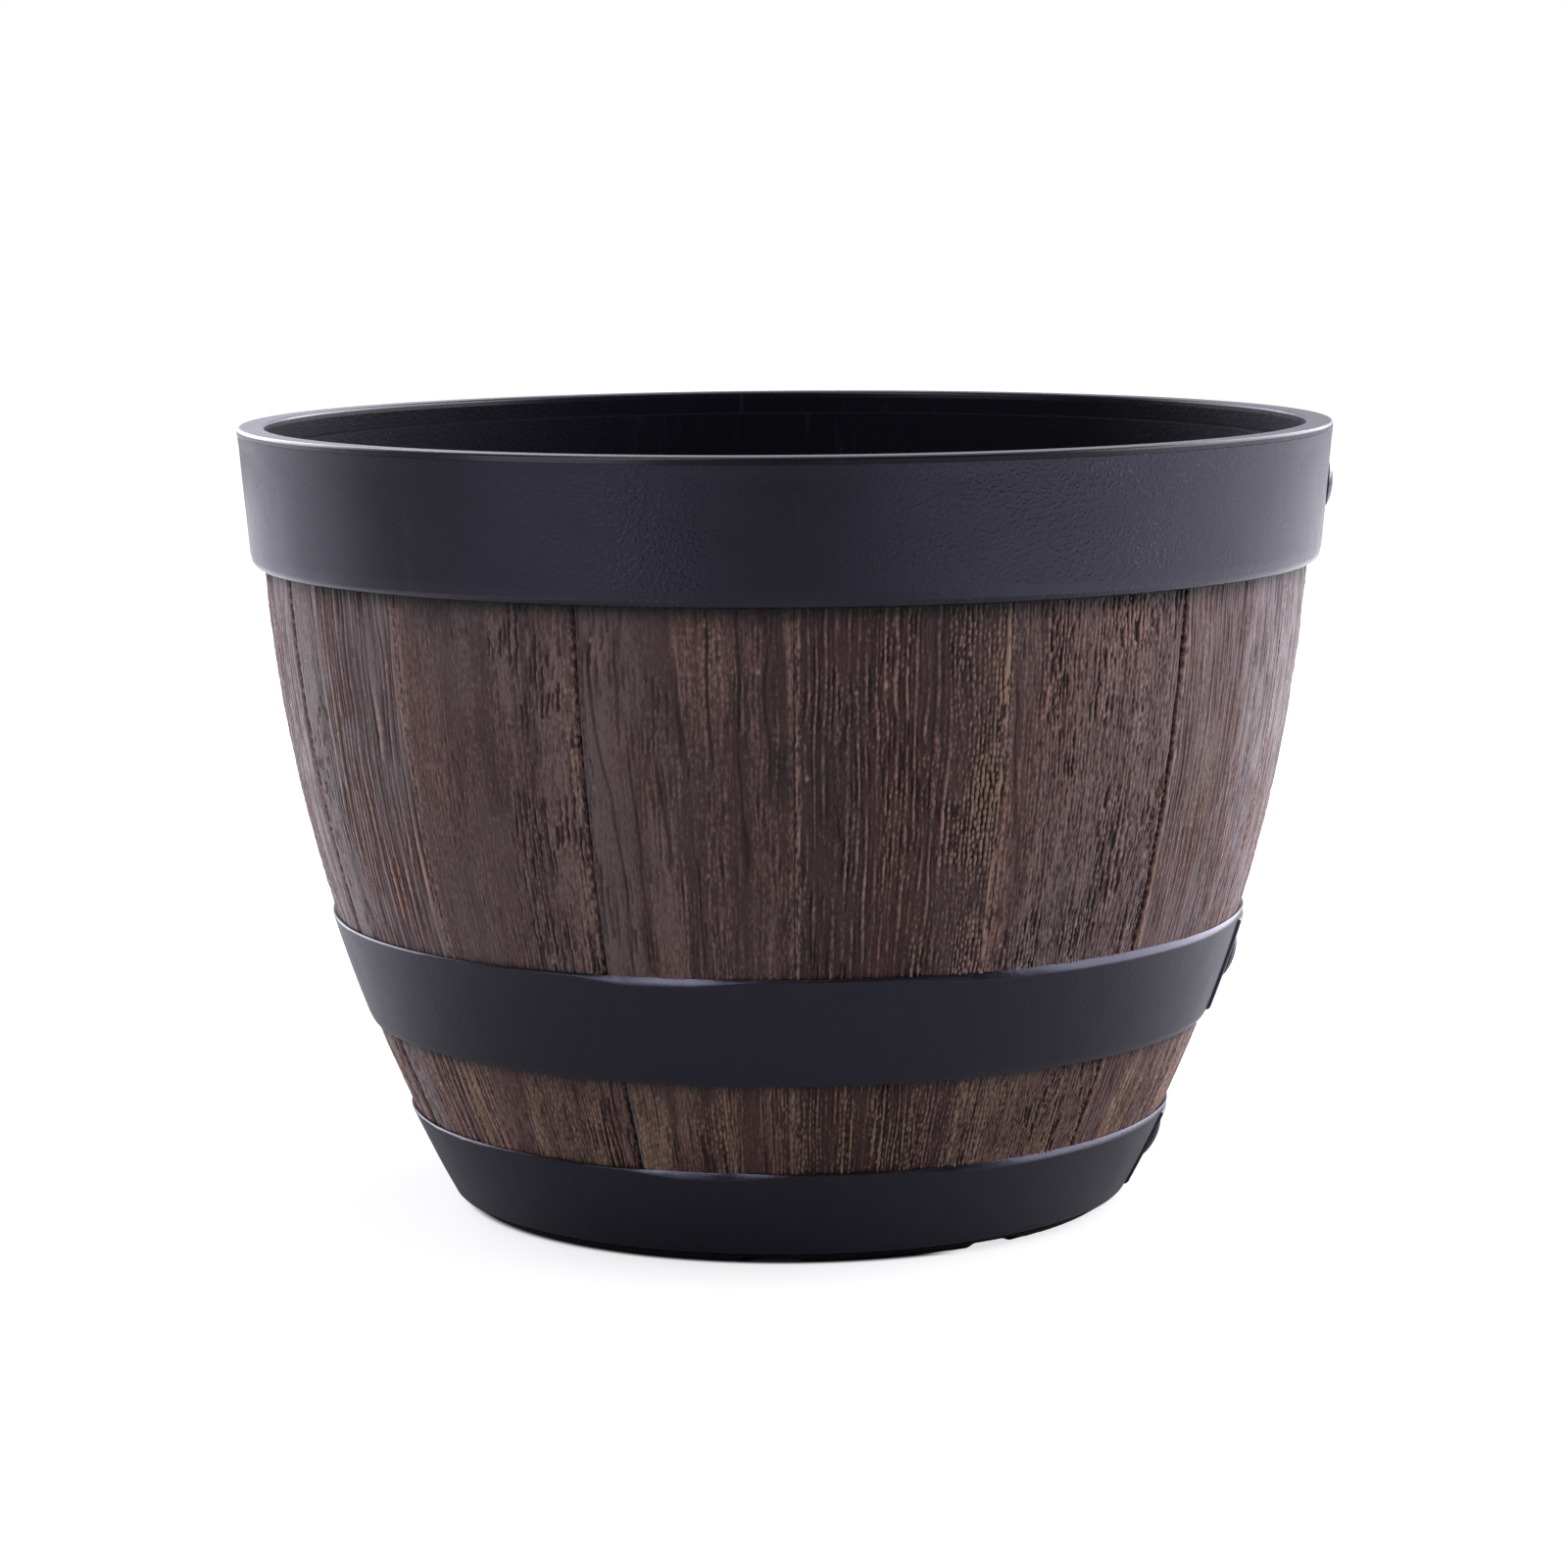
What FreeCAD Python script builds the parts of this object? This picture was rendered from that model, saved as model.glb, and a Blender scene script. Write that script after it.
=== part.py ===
import FreeCAD, Part, Sketcher

import math
import os
import re

os.makedirs("parts", exist_ok=True)

# Driving sizes, in millimetres and degrees. The planter stands on z = 0 with its axis on Z.
# Its front is towards -Y, and directions round it are counted from the front towards +X.
SIZES = [
    ("planter_height", 164.0, "floor to the top of the rim lip"),
    ("lip_overhang", 4.25, "rim lip beyond the widest staves"),
    ("lip_thickness", 1.4, "height of the lip above the rim band"),
    ("lip_rounding", 0.6, "rounded upper edges of the lip"),
    ("ledge_drop", 4.8, "rim top down to the ledge inside the mouth"),
    ("belly_radius", 109.85, "widest outside of the staves"),
    ("belly_height", 158.2, "height of that widest place"),
    ("stave_arc", 330.0, "radius of the bow along a stave"),
    ("stave_count", 16, "staves in the ring"),
    ("stave_thickness", 3.6, "thickness of a stave"),
    ("stave_bevel", 0.7, "bevel along the long outer edges of a stave"),
    ("stave_gap", 0.3, "open joint between two staves at the belly"),
    ("joint_angle", 0.7, "direction of the stave joint nearest the front"),
    ("shell_clearance", 0.3, "room between nested curved faces"),
    ("seat_clearance", 0.15, "room between seated flat faces"),
    ("pot_wall", 2.2, "wall of the inner pot"),
    ("collar_thickness", 2.4, "thickness of the ledge that caps the staves"),
    ("collar_wall", 1.3, "wall between the mouth and the rim band"),
    ("floor_height", 5.5, "underside of the pot floor"),
    ("floor_thickness", 2.5, "thickness of the pot floor"),
    ("floor_rounding", 4.0, "round where the floor meets the wall"),
    ("foot_setback", 0.2, "foot ring inside the face of the bottom hoop"),
    ("foot_width", 10.2, "foot ring, outside to inside"),
    ("foot_height", 2.3, "height of the foot ring's flange"),
    ("foot_slope", 3.6, "lean of the foot ring's outside, top to sole"),
    ("foot_rounding", 3.4, "rounded edge of the foot ring's sole"),
    ("notch_width", 11.5, "drain notch in the foot ring, along the ring"),
    ("notch_height", 1.7, "drain notch in the foot ring, upwards"),
    ("notch_angle", -3.3, "direction of the first notch of a pair"),
    ("notch_step_angle", 39.6, "angle between the two notches of a pair"),
    ("drain_count", 3, "drain holes, and pairs of notches"),
    ("drain_circle", 38.0, "radius of the circle of drain holes"),
    ("drain_radius", 4.5, "radius of a drain hole"),
    ("rim_band_height", 27.1, "rim band, upper to lower edge"),
    ("rim_band_setback", 0.05, "top of the rim band inside the lip"),
    ("rim_band_rounding", 2.0, "rounded lower edge of the rim band"),
    ("rim_band_underside", 0.4, "flat of the rim band's underside, inside its rounding"),
    ("rim_rivet_drop", 12.0, "upper edge of the rim band down to its rivets"),
    ("middle_hoop_foot", 39.0, "lower edge of the middle hoop"),
    ("middle_hoop_height", 23.6, "middle hoop, upper to lower edge"),
    ("bottom_hoop_height", 18.5, "bottom hoop, upper to lower edge"),
    ("hoop_thickness", 0.5, "thickness of a hoop"),
    ("hoop_land", 0.25, "square part of a hoop's edge"),
    ("hoop_bevel", 1.7, "height of the bevel on a hoop's edge"),
    ("lap_thickness", 0.6, "overlapping end of a hoop, above the hoop"),
    ("lap_angle", 24.0, "angle that the overlap covers"),
    ("lap_inset", 0.4, "overlap inside the hoop's bevels"),
    ("rivet_angle", 5.0, "angle of each rivet from the middle of the overlap"),
    ("rivet_head_radius", 4.4, "radius of a rivet head"),
    ("rivet_head_height", 1.1, "height of a rivet head"),
    ("rivet_shank_radius", 1.8, "radius of a rivet shank"),
    ("rivet_fit", 0.3, "room round a rivet shank"),
    ("plug_flange_overlap", 3.0, "flange of a drain plug beyond its hole"),
    ("plug_flange_thickness", 1.6, "thickness of that flange"),
    ("plug_fit", 0.3, "room round a plug in its hole"),
    ("plug_stem_length", 4.6, "stem of a drain plug below its flange"),
    ("plug_stem_taper", 0.5, "narrowing at the end of the stem"),
    ("plug_knob_radius", 2.6, "knob that the plug is pulled by"),
    ("plug_knob_height", 3.2, "height of that knob"),
    ("plug_knob_rounding", 0.9, "rounded top of that knob"),
]

doc = FreeCAD.newDocument("whiskey_barrel_planter")
sheet = doc.addObject("Spreadsheet::Sheet", "Sizes")
for row, (alias, number, meaning) in enumerate(SIZES, start=1):
    sheet.set(f"A{row}", meaning)
    sheet.set(f"B{row}", str(number))
    sheet.setAlias(f"B{row}", alias)
doc.recompute()

ALIASES = {alias for alias, number, meaning in SIZES}
NEAR_SHARE = 0.0004
nodes = []


def cells(text):
    """Sheet expression with every alias in the text written as a reference to its cell."""
    return re.sub(r"[a-z_]+", lambda m: "Sizes." + m.group() if m.group() in ALIASES else m.group(), text)


def value(text):
    """Number that the text comes to with the present sizes."""
    return float(sheet.evalExpression(cells(text)))


# Radius, at a height, of the bowed barrel surface moved out from the staves' outside by an offset.
def bowed(height, offset):
    reach = f"(stave_arc + ({offset}))"
    rise = f"(({height}) - belly_height)"
    return f"(belly_radius - stave_arc + sqrt({reach} * {reach} - {rise} * {rise}))"


def plane(body, role):
    """One of the body's own origin planes."""
    return next(item for item in body.Origin.OriginFeatures if item.Role == role)


def new_body(name):
    """Empty body whose label names the finished piece."""
    body = doc.addObject("PartDesign::Body", name)
    body.Label = name
    return body


def bind(sketch, kind, arguments, name, text):
    """Adds a named dimension to a sketch and binds it to the sheet."""
    index = sketch.addConstraint(Sketcher.Constraint(kind, *arguments, value(text)))
    sketch.renameConstraint(index, name)
    sketch.setExpression(f"Constraints.{name}", cells(text))


def tie(sketch, kind, *arguments):
    """Adds a constraint that has no size."""
    sketch.addConstraint(Sketcher.Constraint(kind, *arguments))


def outline(body, name, corners, bows=None):
    """Closed sketch on the body's XZ plane through corners given as (radius, height) expressions.

    A side whose number is in bows is an arc of that radius, turning anticlockwise from its lower end.
    Every corner is dimensioned from the axis and from the ground, so the sketch has no freedom left.
    """
    bows = bows or {}
    sketch = body.newObject("Sketcher::SketchObject", name)
    sketch.AttachmentSupport = [(plane(body, "XZ_Plane"), "")]
    sketch.MapMode = "FlatFace"
    points = [FreeCAD.Vector(value(across), value(up), 0) for across, up in corners]
    count = len(points)
    ends = []
    for side in range(count):
        start = points[side]
        finish = points[(side + 1) % count]
        if side not in bows:
            number = sketch.addGeometry(Part.LineSegment(start, finish), False)
            ends.append((number, 1, 2))
            continue
        low, high = sorted((start, finish), key=lambda point: point.y)
        span = high - low
        radius = value(bows[side])
        inward = FreeCAD.Vector(-span.y, span.x, 0).normalize()
        centre = (low + high) / 2 + inward * math.sqrt(radius**2 - (span.Length / 2) ** 2)
        angles = [math.atan2(point.y - centre.y, point.x - centre.x) for point in (low, high)]
        circle = Part.Circle(centre, FreeCAD.Vector(0, 0, 1), radius)
        number = sketch.addGeometry(Part.ArcOfCircle(circle, *angles), False)
        ends.append((number, 1, 2) if start is low else (number, 2, 1))
    for side in range(count):
        number, first, last = ends[side]
        following, following_first, following_last = ends[(side + 1) % count]
        tie(sketch, "Coincident", number, last, following, following_first)
    for corner, (across, up) in enumerate(corners):
        number, first, last = ends[corner]
        if value(across) == 0:
            tie(sketch, "PointOnObject", number, first, -2)
        else:
            bind(sketch, "DistanceX", (-1, 1, number, first), f"radius_{corner}", across)
        if value(up) == 0:
            tie(sketch, "PointOnObject", number, first, -1)
        else:
            bind(sketch, "DistanceY", (-1, 1, number, first), f"height_{corner}", up)
    for side, radius in bows.items():
        bind(sketch, "Radius", (ends[side][0],), f"bow_{side}", radius)
    return sketch


def turned(body, name, sketch, sweep=None):
    """Sketch turned about the axis: all the way round, or by a sweep shared equally by both sides."""
    feature = body.newObject("PartDesign::Revolution", name)
    feature.Profile = sketch
    feature.ReferenceAxis = (sketch, ["V_Axis"])
    if sweep:
        feature.Midplane = True
        feature.setExpression("Angle", cells(sweep))
    doc.recompute()
    return feature


def edges_where(shape, wanted):
    """Names of the edges of a shape that pass a test."""
    return [f"Edge{number}" for number, edge in enumerate(shape.Edges, start=1) if wanted(edge)]


def ring_at(across, up):
    """Test for the whole circle of that radius and height about the axis."""
    radius = value(across)
    height = value(up)
    near = value("planter_height") * NEAR_SHARE

    def wanted(edge):
        box = edge.BoundBox
        return abs(box.ZMax - height) < near and box.ZLength < near and abs(box.XMax - radius) < near

    return wanted


def dressed(body, kind, name, base, wanted, size):
    """Fillet or chamfer of the edges of a feature that pass a test."""
    names = edges_where(base.Shape, wanted)
    if not names:
        raise RuntimeError(f"{name}: no edge to dress on {body.Label}")
    feature = body.newObject(kind, name)
    feature.Base = (base, names)
    feature.setExpression("Size" if kind.endswith("Chamfer") else "Radius", cells(size))
    doc.recompute()
    return feature


def rounded(body, name, base, across, up, size):
    """Fillet of one circle about the axis."""
    return dressed(body, "PartDesign::Fillet", name, base, ring_at(across, up), size)


def sunk(body, name, sketch, depth, upwards=False):
    """Pocket that must take material away."""
    before = body.Shape.Volume
    feature = body.newObject("PartDesign::Pocket", name)
    feature.Profile = sketch
    feature.Reversed = upwards
    feature.setExpression("Length", cells(depth))
    doc.recompute()
    if not feature.Shape.Volume < before:
        raise RuntimeError(f"{name} cuts nothing from {body.Label}")
    return feature


def repeated(body, name, features, count):
    """Polar pattern of features about the axis."""
    pattern = body.newObject("PartDesign::PolarPattern", name)
    pattern.Originals = features
    pattern.Axis = (features[0].Profile[0], ["N_Axis"])
    pattern.Angle = 360
    pattern.setExpression("Occurrences", cells(count))
    body.Tip = pattern
    doc.recompute()
    return pattern


def ground_sketch(body, name, turn):
    """Empty sketch on the ground whose X axis points in a direction counted from the front."""
    sketch = body.newObject("Sketcher::SketchObject", name)
    sketch.AttachmentSupport = [(plane(body, "XY_Plane"), "")]
    sketch.MapMode = "FlatFace"
    facing = FreeCAD.Rotation(FreeCAD.Vector(0, 0, 1), value(turn) - 90)
    sketch.AttachmentOffset = FreeCAD.Placement(FreeCAD.Vector(), facing)
    return sketch


def circle_in(sketch, across, radius):
    """Circle centred on the X axis of a sketch, or on its origin."""
    centre = FreeCAD.Vector(value(across), 0, 0)
    number = sketch.addGeometry(Part.Circle(centre, FreeCAD.Vector(0, 0, 1), value(radius)), False)
    bind(sketch, "Radius", (number,), "circle_radius", radius)
    if value(across) == 0:
        tie(sketch, "Coincident", number, 3, -1, 1)
        return
    tie(sketch, "PointOnObject", number, 3, -1)
    bind(sketch, "DistanceX", (-1, 1, number, 3), "circle_offset", across)


def slot_in(sketch, near, far, width):
    """Rectangle across the X axis of a sketch, from a near to a far distance."""
    half = value(width) / 2
    corners = [(near, -half), (far, -half), (far, half), (near, half)]
    points = [FreeCAD.Vector(value(across), up, 0) for across, up in corners]
    for side in range(len(points)):
        sketch.addGeometry(Part.LineSegment(points[side], points[(side + 1) % len(points)]), False)
    for side in range(len(points)):
        tie(sketch, "Coincident", side, 2, (side + 1) % len(points), 1)
    for side, lie in ((0, "Horizontal"), (2, "Horizontal"), (3, "Vertical")):
        tie(sketch, lie, side)
    tie(sketch, "Symmetric", 1, 1, 1, 2, -1)
    bind(sketch, "DistanceY", (1, 1, 1, 2), "width", width)
    bind(sketch, "DistanceX", (-1, 1, 3, 2), "near", near)
    bind(sketch, "DistanceX", (-1, 1, 1, 1), "far", far)


# Inner pot: bowed wall, floor, notched foot, and a collar and lip that cap the staves.
pot_face = "-stave_thickness - shell_clearance"
pot_inside = f"{pot_face} - pot_wall"
ledge = "planter_height - ledge_drop"
lip_foot = "planter_height - lip_thickness"
collar_foot = f"{ledge} - collar_thickness"
hoop_face = "shell_clearance + hoop_thickness"
rim_radius = "(belly_radius + lip_overhang)"
collar_radius = bowed(collar_foot, "0")
mouth = f"{collar_radius} - collar_wall"
floor_top = "floor_height + floor_thickness"
foot_radius = f"({bowed('foot_height', hoop_face)} - foot_setback)"
foot_inside = f"{foot_radius} - foot_width"
sole_radius = f"{foot_radius} - foot_slope"

pot = new_body("inner_pot")
pot_outline = outline(
    pot,
    "pot_outline",
    [
        ("0", floor_top),
        (bowed(floor_top, pot_inside), floor_top),
        (bowed(ledge, pot_inside), ledge),
        (mouth, ledge),
        (mouth, "planter_height"),
        (rim_radius, "planter_height"),
        (rim_radius, lip_foot),
        (collar_radius, lip_foot),
        (collar_radius, collar_foot),
        (bowed(collar_foot, pot_face), collar_foot),
        (bowed("foot_height", pot_face), "foot_height"),
        (foot_radius, "foot_height"),
        (sole_radius, "0"),
        (foot_inside, "0"),
        (foot_inside, "floor_height"),
        ("0", "floor_height"),
    ],
    {1: f"stave_arc + ({pot_inside})", 9: f"stave_arc + ({pot_face})"},
)
pot_feature = turned(pot, "pot_turned", pot_outline)
pot_feature = rounded(pot, "lip_outer_edge", pot_feature, rim_radius, "planter_height", "lip_rounding")
pot_feature = rounded(pot, "lip_inner_edge", pot_feature, mouth, "planter_height", "lip_rounding")
pot_feature = rounded(pot, "foot_edge", pot_feature, sole_radius, "0", "foot_rounding")
floor_edge = bowed(floor_top, pot_inside)
pot_feature = rounded(pot, "floor_round", pot_feature, floor_edge, floor_top, "floor_rounding")

notches = []
for notch, turn in enumerate(("notch_angle", "notch_angle + notch_step_angle"), start=1):
    notch_sketch = ground_sketch(pot, f"notch_{notch}_outline", turn)
    slot_in(notch_sketch, f"{foot_inside} - notch_height", f"{foot_radius} + notch_height", "notch_width")
    notches.append(sunk(pot, f"notch_{notch}", notch_sketch, "notch_height", upwards=True))
pot.Tip = repeated(pot, "notch_pairs", notches, "drain_count")

drain_turn = "notch_angle + notch_step_angle / 2"
drain_sketch = ground_sketch(pot, "drain_outline", drain_turn)
circle_in(drain_sketch, "drain_circle", "drain_radius")
drain = sunk(pot, "drain_hole", drain_sketch, f"{floor_top} + floor_thickness", upwards=True)
repeated(pot, "drain_holes", [drain], "drain_count")
nodes.append(pot)

# Staves: one bowed board each, set side by side round the pot, between its foot and its collar.
stave_foot = "foot_height + seat_clearance"
stave_top = f"{collar_foot} - seat_clearance"
stave_pitch = "360 / stave_count"
stave_sweep = f"{stave_pitch} - stave_gap / belly_radius * 180 / pi"


def along_stave(edge):
    """Test for the two long edges on the outside of a stave."""
    if edge.BoundBox.ZLength < value(f"({stave_top} - ({stave_foot})) / 2"):
        return False
    middle = edge.valueAt((edge.FirstParameter + edge.LastParameter) / 2)
    outside = value(bowed(f"{middle.z:.6f}", "0"))
    return abs(math.hypot(middle.x, middle.y) - outside) < value("planter_height") * NEAR_SHARE


for number in range(1, round(value("stave_count")) + 1):
    stave = new_body(f"stave_{number:02d}")
    stave_outline = outline(
        stave,
        f"stave_{number:02d}_outline",
        [
            (bowed(stave_foot, "-stave_thickness"), stave_foot),
            (bowed(stave_foot, "0"), stave_foot),
            (bowed(stave_top, "0"), stave_top),
            (bowed(stave_top, "-stave_thickness"), stave_top),
        ],
        {1: "stave_arc", 3: "stave_arc - stave_thickness"},
    )
    board = turned(stave, f"stave_{number:02d}_board", stave_outline, stave_sweep)
    dressed(stave, "PartDesign::Chamfer", f"stave_{number:02d}_bevel", board, along_stave, "stave_bevel")
    facing = value(f"joint_angle + ({number} - 0.5) * {stave_pitch}") - 90
    stave.Placement = FreeCAD.Placement(FreeCAD.Vector(), FreeCAD.Rotation(FreeCAD.Vector(0, 0, 1), facing))
    nodes.append(stave)

# Rivets: where each band's two rivets stand, which way they point and how deep the band is there.
lap_face = f"{hoop_face} + lap_thickness"
rim_band_top = f"{lip_foot} - seat_clearance"
rim_band_foot = f"{rim_band_top} - rim_band_height"
rim_band_top_radius = f"{rim_radius} - rim_band_setback"
rim_band_foot_inside = bowed(rim_band_foot, "shell_clearance")
rim_band_foot_radius = f"{rim_band_foot_inside} + rim_band_rounding + rim_band_underside"
rim_band_taper = f"({rim_band_top_radius} - ({rim_band_foot_radius}))"
rim_rivet_height = f"{rim_band_top} - rim_rivet_drop"
rim_rivet_radius = f"{rim_band_top_radius} - {rim_band_taper} * rim_rivet_drop / rim_band_height"
bottom_hoop_foot = "foot_height + seat_clearance"
middle_rivet_height = "(middle_hoop_foot + middle_hoop_height / 2)"
bottom_rivet_height = f"({bottom_hoop_foot} + bottom_hoop_height / 2)"
RIVET_SEATS = {
    "rim_band": (
        rim_rivet_radius,
        rim_rivet_height,
        f"atan({rim_band_taper} / rim_band_height)",
        f"{rim_rivet_radius} - {bowed(rim_rivet_height, 'shell_clearance')}",
    ),
    "middle_hoop": (
        bowed(middle_rivet_height, lap_face),
        middle_rivet_height,
        f"asin((belly_height - {middle_rivet_height}) / (stave_arc + {lap_face}))",
        "hoop_thickness + lap_thickness",
    ),
    "bottom_hoop": (
        bowed(bottom_rivet_height, lap_face),
        bottom_rivet_height,
        f"asin((belly_height - {bottom_rivet_height}) / (stave_arc + {lap_face}))",
        "hoop_thickness + lap_thickness",
    ),
}


def rivet_holes(body):
    """Clearance holes for the two rivets of a band, square to its face, either side of +X."""
    across, up, lean, depth = RIVET_SEATS[body.Label]
    sketch = body.newObject("Sketcher::SketchObject", f"{body.Label}_rivet_outline")
    sketch.AttachmentSupport = [(plane(body, "YZ_Plane"), "")]
    sketch.MapMode = "FlatFace"
    swing = FreeCAD.Rotation(FreeCAD.Vector(0, 1, 0), value("rivet_angle"))
    tilt = FreeCAD.Rotation(FreeCAD.Vector(1, 0, 0), value(lean))
    stand_off = swing.multVec(tilt.multVec(FreeCAD.Vector(0, 0, value("rivet_head_height"))))
    seat = swing.multVec(FreeCAD.Vector(0, 0, value(across)))
    raised = FreeCAD.Vector(0, value(up), 0)
    sketch.AttachmentOffset = FreeCAD.Placement(seat + raised + stand_off, swing.multiply(tilt))
    circle_in(sketch, "0", "rivet_shank_radius + rivet_fit")
    hole = sunk(body, f"{body.Label}_rivet_hole", sketch, f"({depth}) + 2 * rivet_head_height")
    other = body.newObject("PartDesign::Mirrored", f"{body.Label}_rivet_holes")
    other.Originals = [hole]
    other.MirrorPlane = (plane(body, "XZ_Plane"), [""])
    body.Tip = other
    doc.recompute()
    if not other.Shape.Volume < hole.Shape.Volume:
        raise RuntimeError(f"{body.Label} has only one rivet hole")


def rivet_pair(band):
    """Two dome-headed rivets, each turned about its own axis and then stood in its hole."""
    across, up, lean, depth = RIVET_SEATS[band]
    shank = f"({depth} - seat_clearance)"
    dome = "(rivet_head_radius * rivet_head_radius / rivet_head_height + rivet_head_height) / 2"
    pair = []
    for side in (1, -1):
        name = f"{band}_rivet_{'left' if side > 0 else 'right'}"
        rivet = new_body(name)
        profile = outline(
            rivet,
            f"{name}_outline",
            [
                ("0", "0"),
                ("rivet_shank_radius", "0"),
                ("rivet_shank_radius", shank),
                ("rivet_head_radius", shank),
                ("0", f"{shank} + rivet_head_height"),
            ],
            {3: dome},
        )
        turned(rivet, f"{name}_turned", profile)
        swing = FreeCAD.Rotation(FreeCAD.Vector(0, 0, 1), side * value("rivet_angle"))
        lie = FreeCAD.Rotation(FreeCAD.Vector(0, 1, 0), 90 + value(lean))
        aim = swing.multiply(lie)
        sunken = aim.multVec(FreeCAD.Vector(0, 0, value(f"{shank} - seat_clearance / 2")))
        seat = swing.multVec(FreeCAD.Vector(value(across), 0, 0))
        raised = FreeCAD.Vector(0, 0, value(up))
        rivet.Placement = FreeCAD.Placement(seat + raised - sunken, aim)
        pair.append(rivet)
    group = doc.addObject("Part::Compound", f"{band}_rivets")
    group.Label = f"{band}_rivets"
    group.Links = pair
    doc.recompute()
    nodes.append(group)


# Rim band: thick tapered ring under the lip, with a rounded lower edge that stands off the staves.
rim_band = new_body("rim_band")
rim_outline = outline(
    rim_band,
    "rim_band_outline",
    [
        (rim_band_foot_inside, rim_band_foot),
        (rim_band_foot_radius, rim_band_foot),
        (rim_band_top_radius, rim_band_top),
        (bowed(rim_band_top, "shell_clearance"), rim_band_top),
    ],
    {3: "stave_arc + shell_clearance"},
)
rim_feature = turned(rim_band, "rim_band_turned", rim_outline)
rounded(rim_band, "rim_band_edge", rim_feature, rim_band_foot_radius, rim_band_foot, "rim_band_rounding")
rivet_holes(rim_band)
nodes.append(rim_band)
rivet_pair("rim_band")


def hoop(name, foot, height, foot_bevel):
    """Thin bowed hoop with bevelled edges, whose overlapping end is riveted on the +X side."""
    body = new_body(name)
    top = f"{foot} + {height}"
    low = f"{foot} + {foot_bevel}"
    high = f"{top} - hoop_bevel"
    profile = outline(
        body,
        f"{name}_outline",
        [
            (bowed(foot, "shell_clearance"), foot),
            (bowed(foot, "shell_clearance + hoop_land"), foot),
            (bowed(low, hoop_face), low),
            (bowed(high, hoop_face), high),
            (bowed(top, "shell_clearance + hoop_land"), top),
            (bowed(top, "shell_clearance"), top),
        ],
        {2: f"stave_arc + {hoop_face}", 5: "stave_arc + shell_clearance"},
    )
    ring = turned(body, f"{name}_ring", profile)
    low = f"{low} + lap_inset"
    high = f"{high} - lap_inset"
    root = "shell_clearance + hoop_thickness / 2"
    lap_profile = outline(
        body,
        f"{name}_lap_outline",
        [
            (bowed(low, root), low),
            (bowed(low, lap_face), low),
            (bowed(high, lap_face), high),
            (bowed(high, root), high),
        ],
        {1: f"stave_arc + {lap_face}", 3: f"stave_arc + {root}"},
    )
    lap = turned(body, f"{name}_lap", lap_profile, "lap_angle")
    if not lap.Shape.Volume > ring.Shape.Volume:
        raise RuntimeError(f"{name} has no overlap")
    rivet_holes(body)
    nodes.append(body)
    rivet_pair(name)


# Hoops: the middle one is bevelled above and below, the bottom one stands square on the foot.
hoop("middle_hoop", "middle_hoop_foot", "middle_hoop_height", "hoop_bevel")
hoop("bottom_hoop", bottom_hoop_foot, "bottom_hoop_height", "hoop_land")

# Drain plugs: flange on the pot floor, stem down the hole, knob to pull.
plug_radius = "drain_radius - plug_fit"
plug_flange_radius = "drain_radius + plug_flange_overlap"
plug_shoulder = "plug_stem_length + plug_flange_thickness"
plug_top = f"{plug_shoulder} + plug_knob_height"
for number in range(1, round(value("drain_count")) + 1):
    plug = new_body(f"drain_plug_{number}")
    plug_outline = outline(
        plug,
        f"drain_plug_{number}_outline",
        [
            ("0", "0"),
            (f"{plug_radius} - plug_stem_taper", "0"),
            (plug_radius, "plug_stem_taper"),
            (plug_radius, "plug_stem_length"),
            (plug_flange_radius, "plug_stem_length"),
            (plug_flange_radius, plug_shoulder),
            ("plug_knob_radius", plug_shoulder),
            ("plug_knob_radius", plug_top),
            ("0", plug_top),
        ],
    )
    plug_feature = turned(plug, f"drain_plug_{number}_turned", plug_outline)
    knob = f"drain_plug_{number}_knob"
    rounded(plug, knob, plug_feature, "plug_knob_radius", plug_top, "plug_knob_rounding")
    facing = value(f"{drain_turn} + ({number} - 1) * 360 / drain_count") - 90
    aim = FreeCAD.Rotation(FreeCAD.Vector(0, 0, 1), facing)
    seat = FreeCAD.Vector(value("drain_circle"), 0, value(f"{floor_top} + seat_clearance - plug_stem_length"))
    plug.Placement = FreeCAD.Placement(aim.multVec(seat), aim)
    nodes.append(plug)

doc.recompute()
for item in doc.Objects:
    if "Invalid" in item.State or "Error" in item.State:
        raise RuntimeError(f"{item.Label} failed: {item.State}")
for node in nodes:
    if node.Shape.isNull() or not node.Shape.isValid():
        raise RuntimeError(f"{node.Label} has no valid shape")
for node in nodes:
    node.Shape.exportStep(f"parts/{node.Label}.step")
    box = node.Shape.BoundBox
    print(f"{node.Label}: {len(node.Shape.Solids)} solid, {node.Shape.Volume:.0f} mm3, {box}")
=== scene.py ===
"""Whiskey barrel planter: staves, hoops, pot and plugs dressed around the CAD frame, on a studio stage."""

import math
from functools import reduce

import bpy
import numpy as np
from bpy.props import FloatProperty, FloatVectorProperty, IntProperty, PointerProperty
from mathutils import Matrix, Vector


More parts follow.
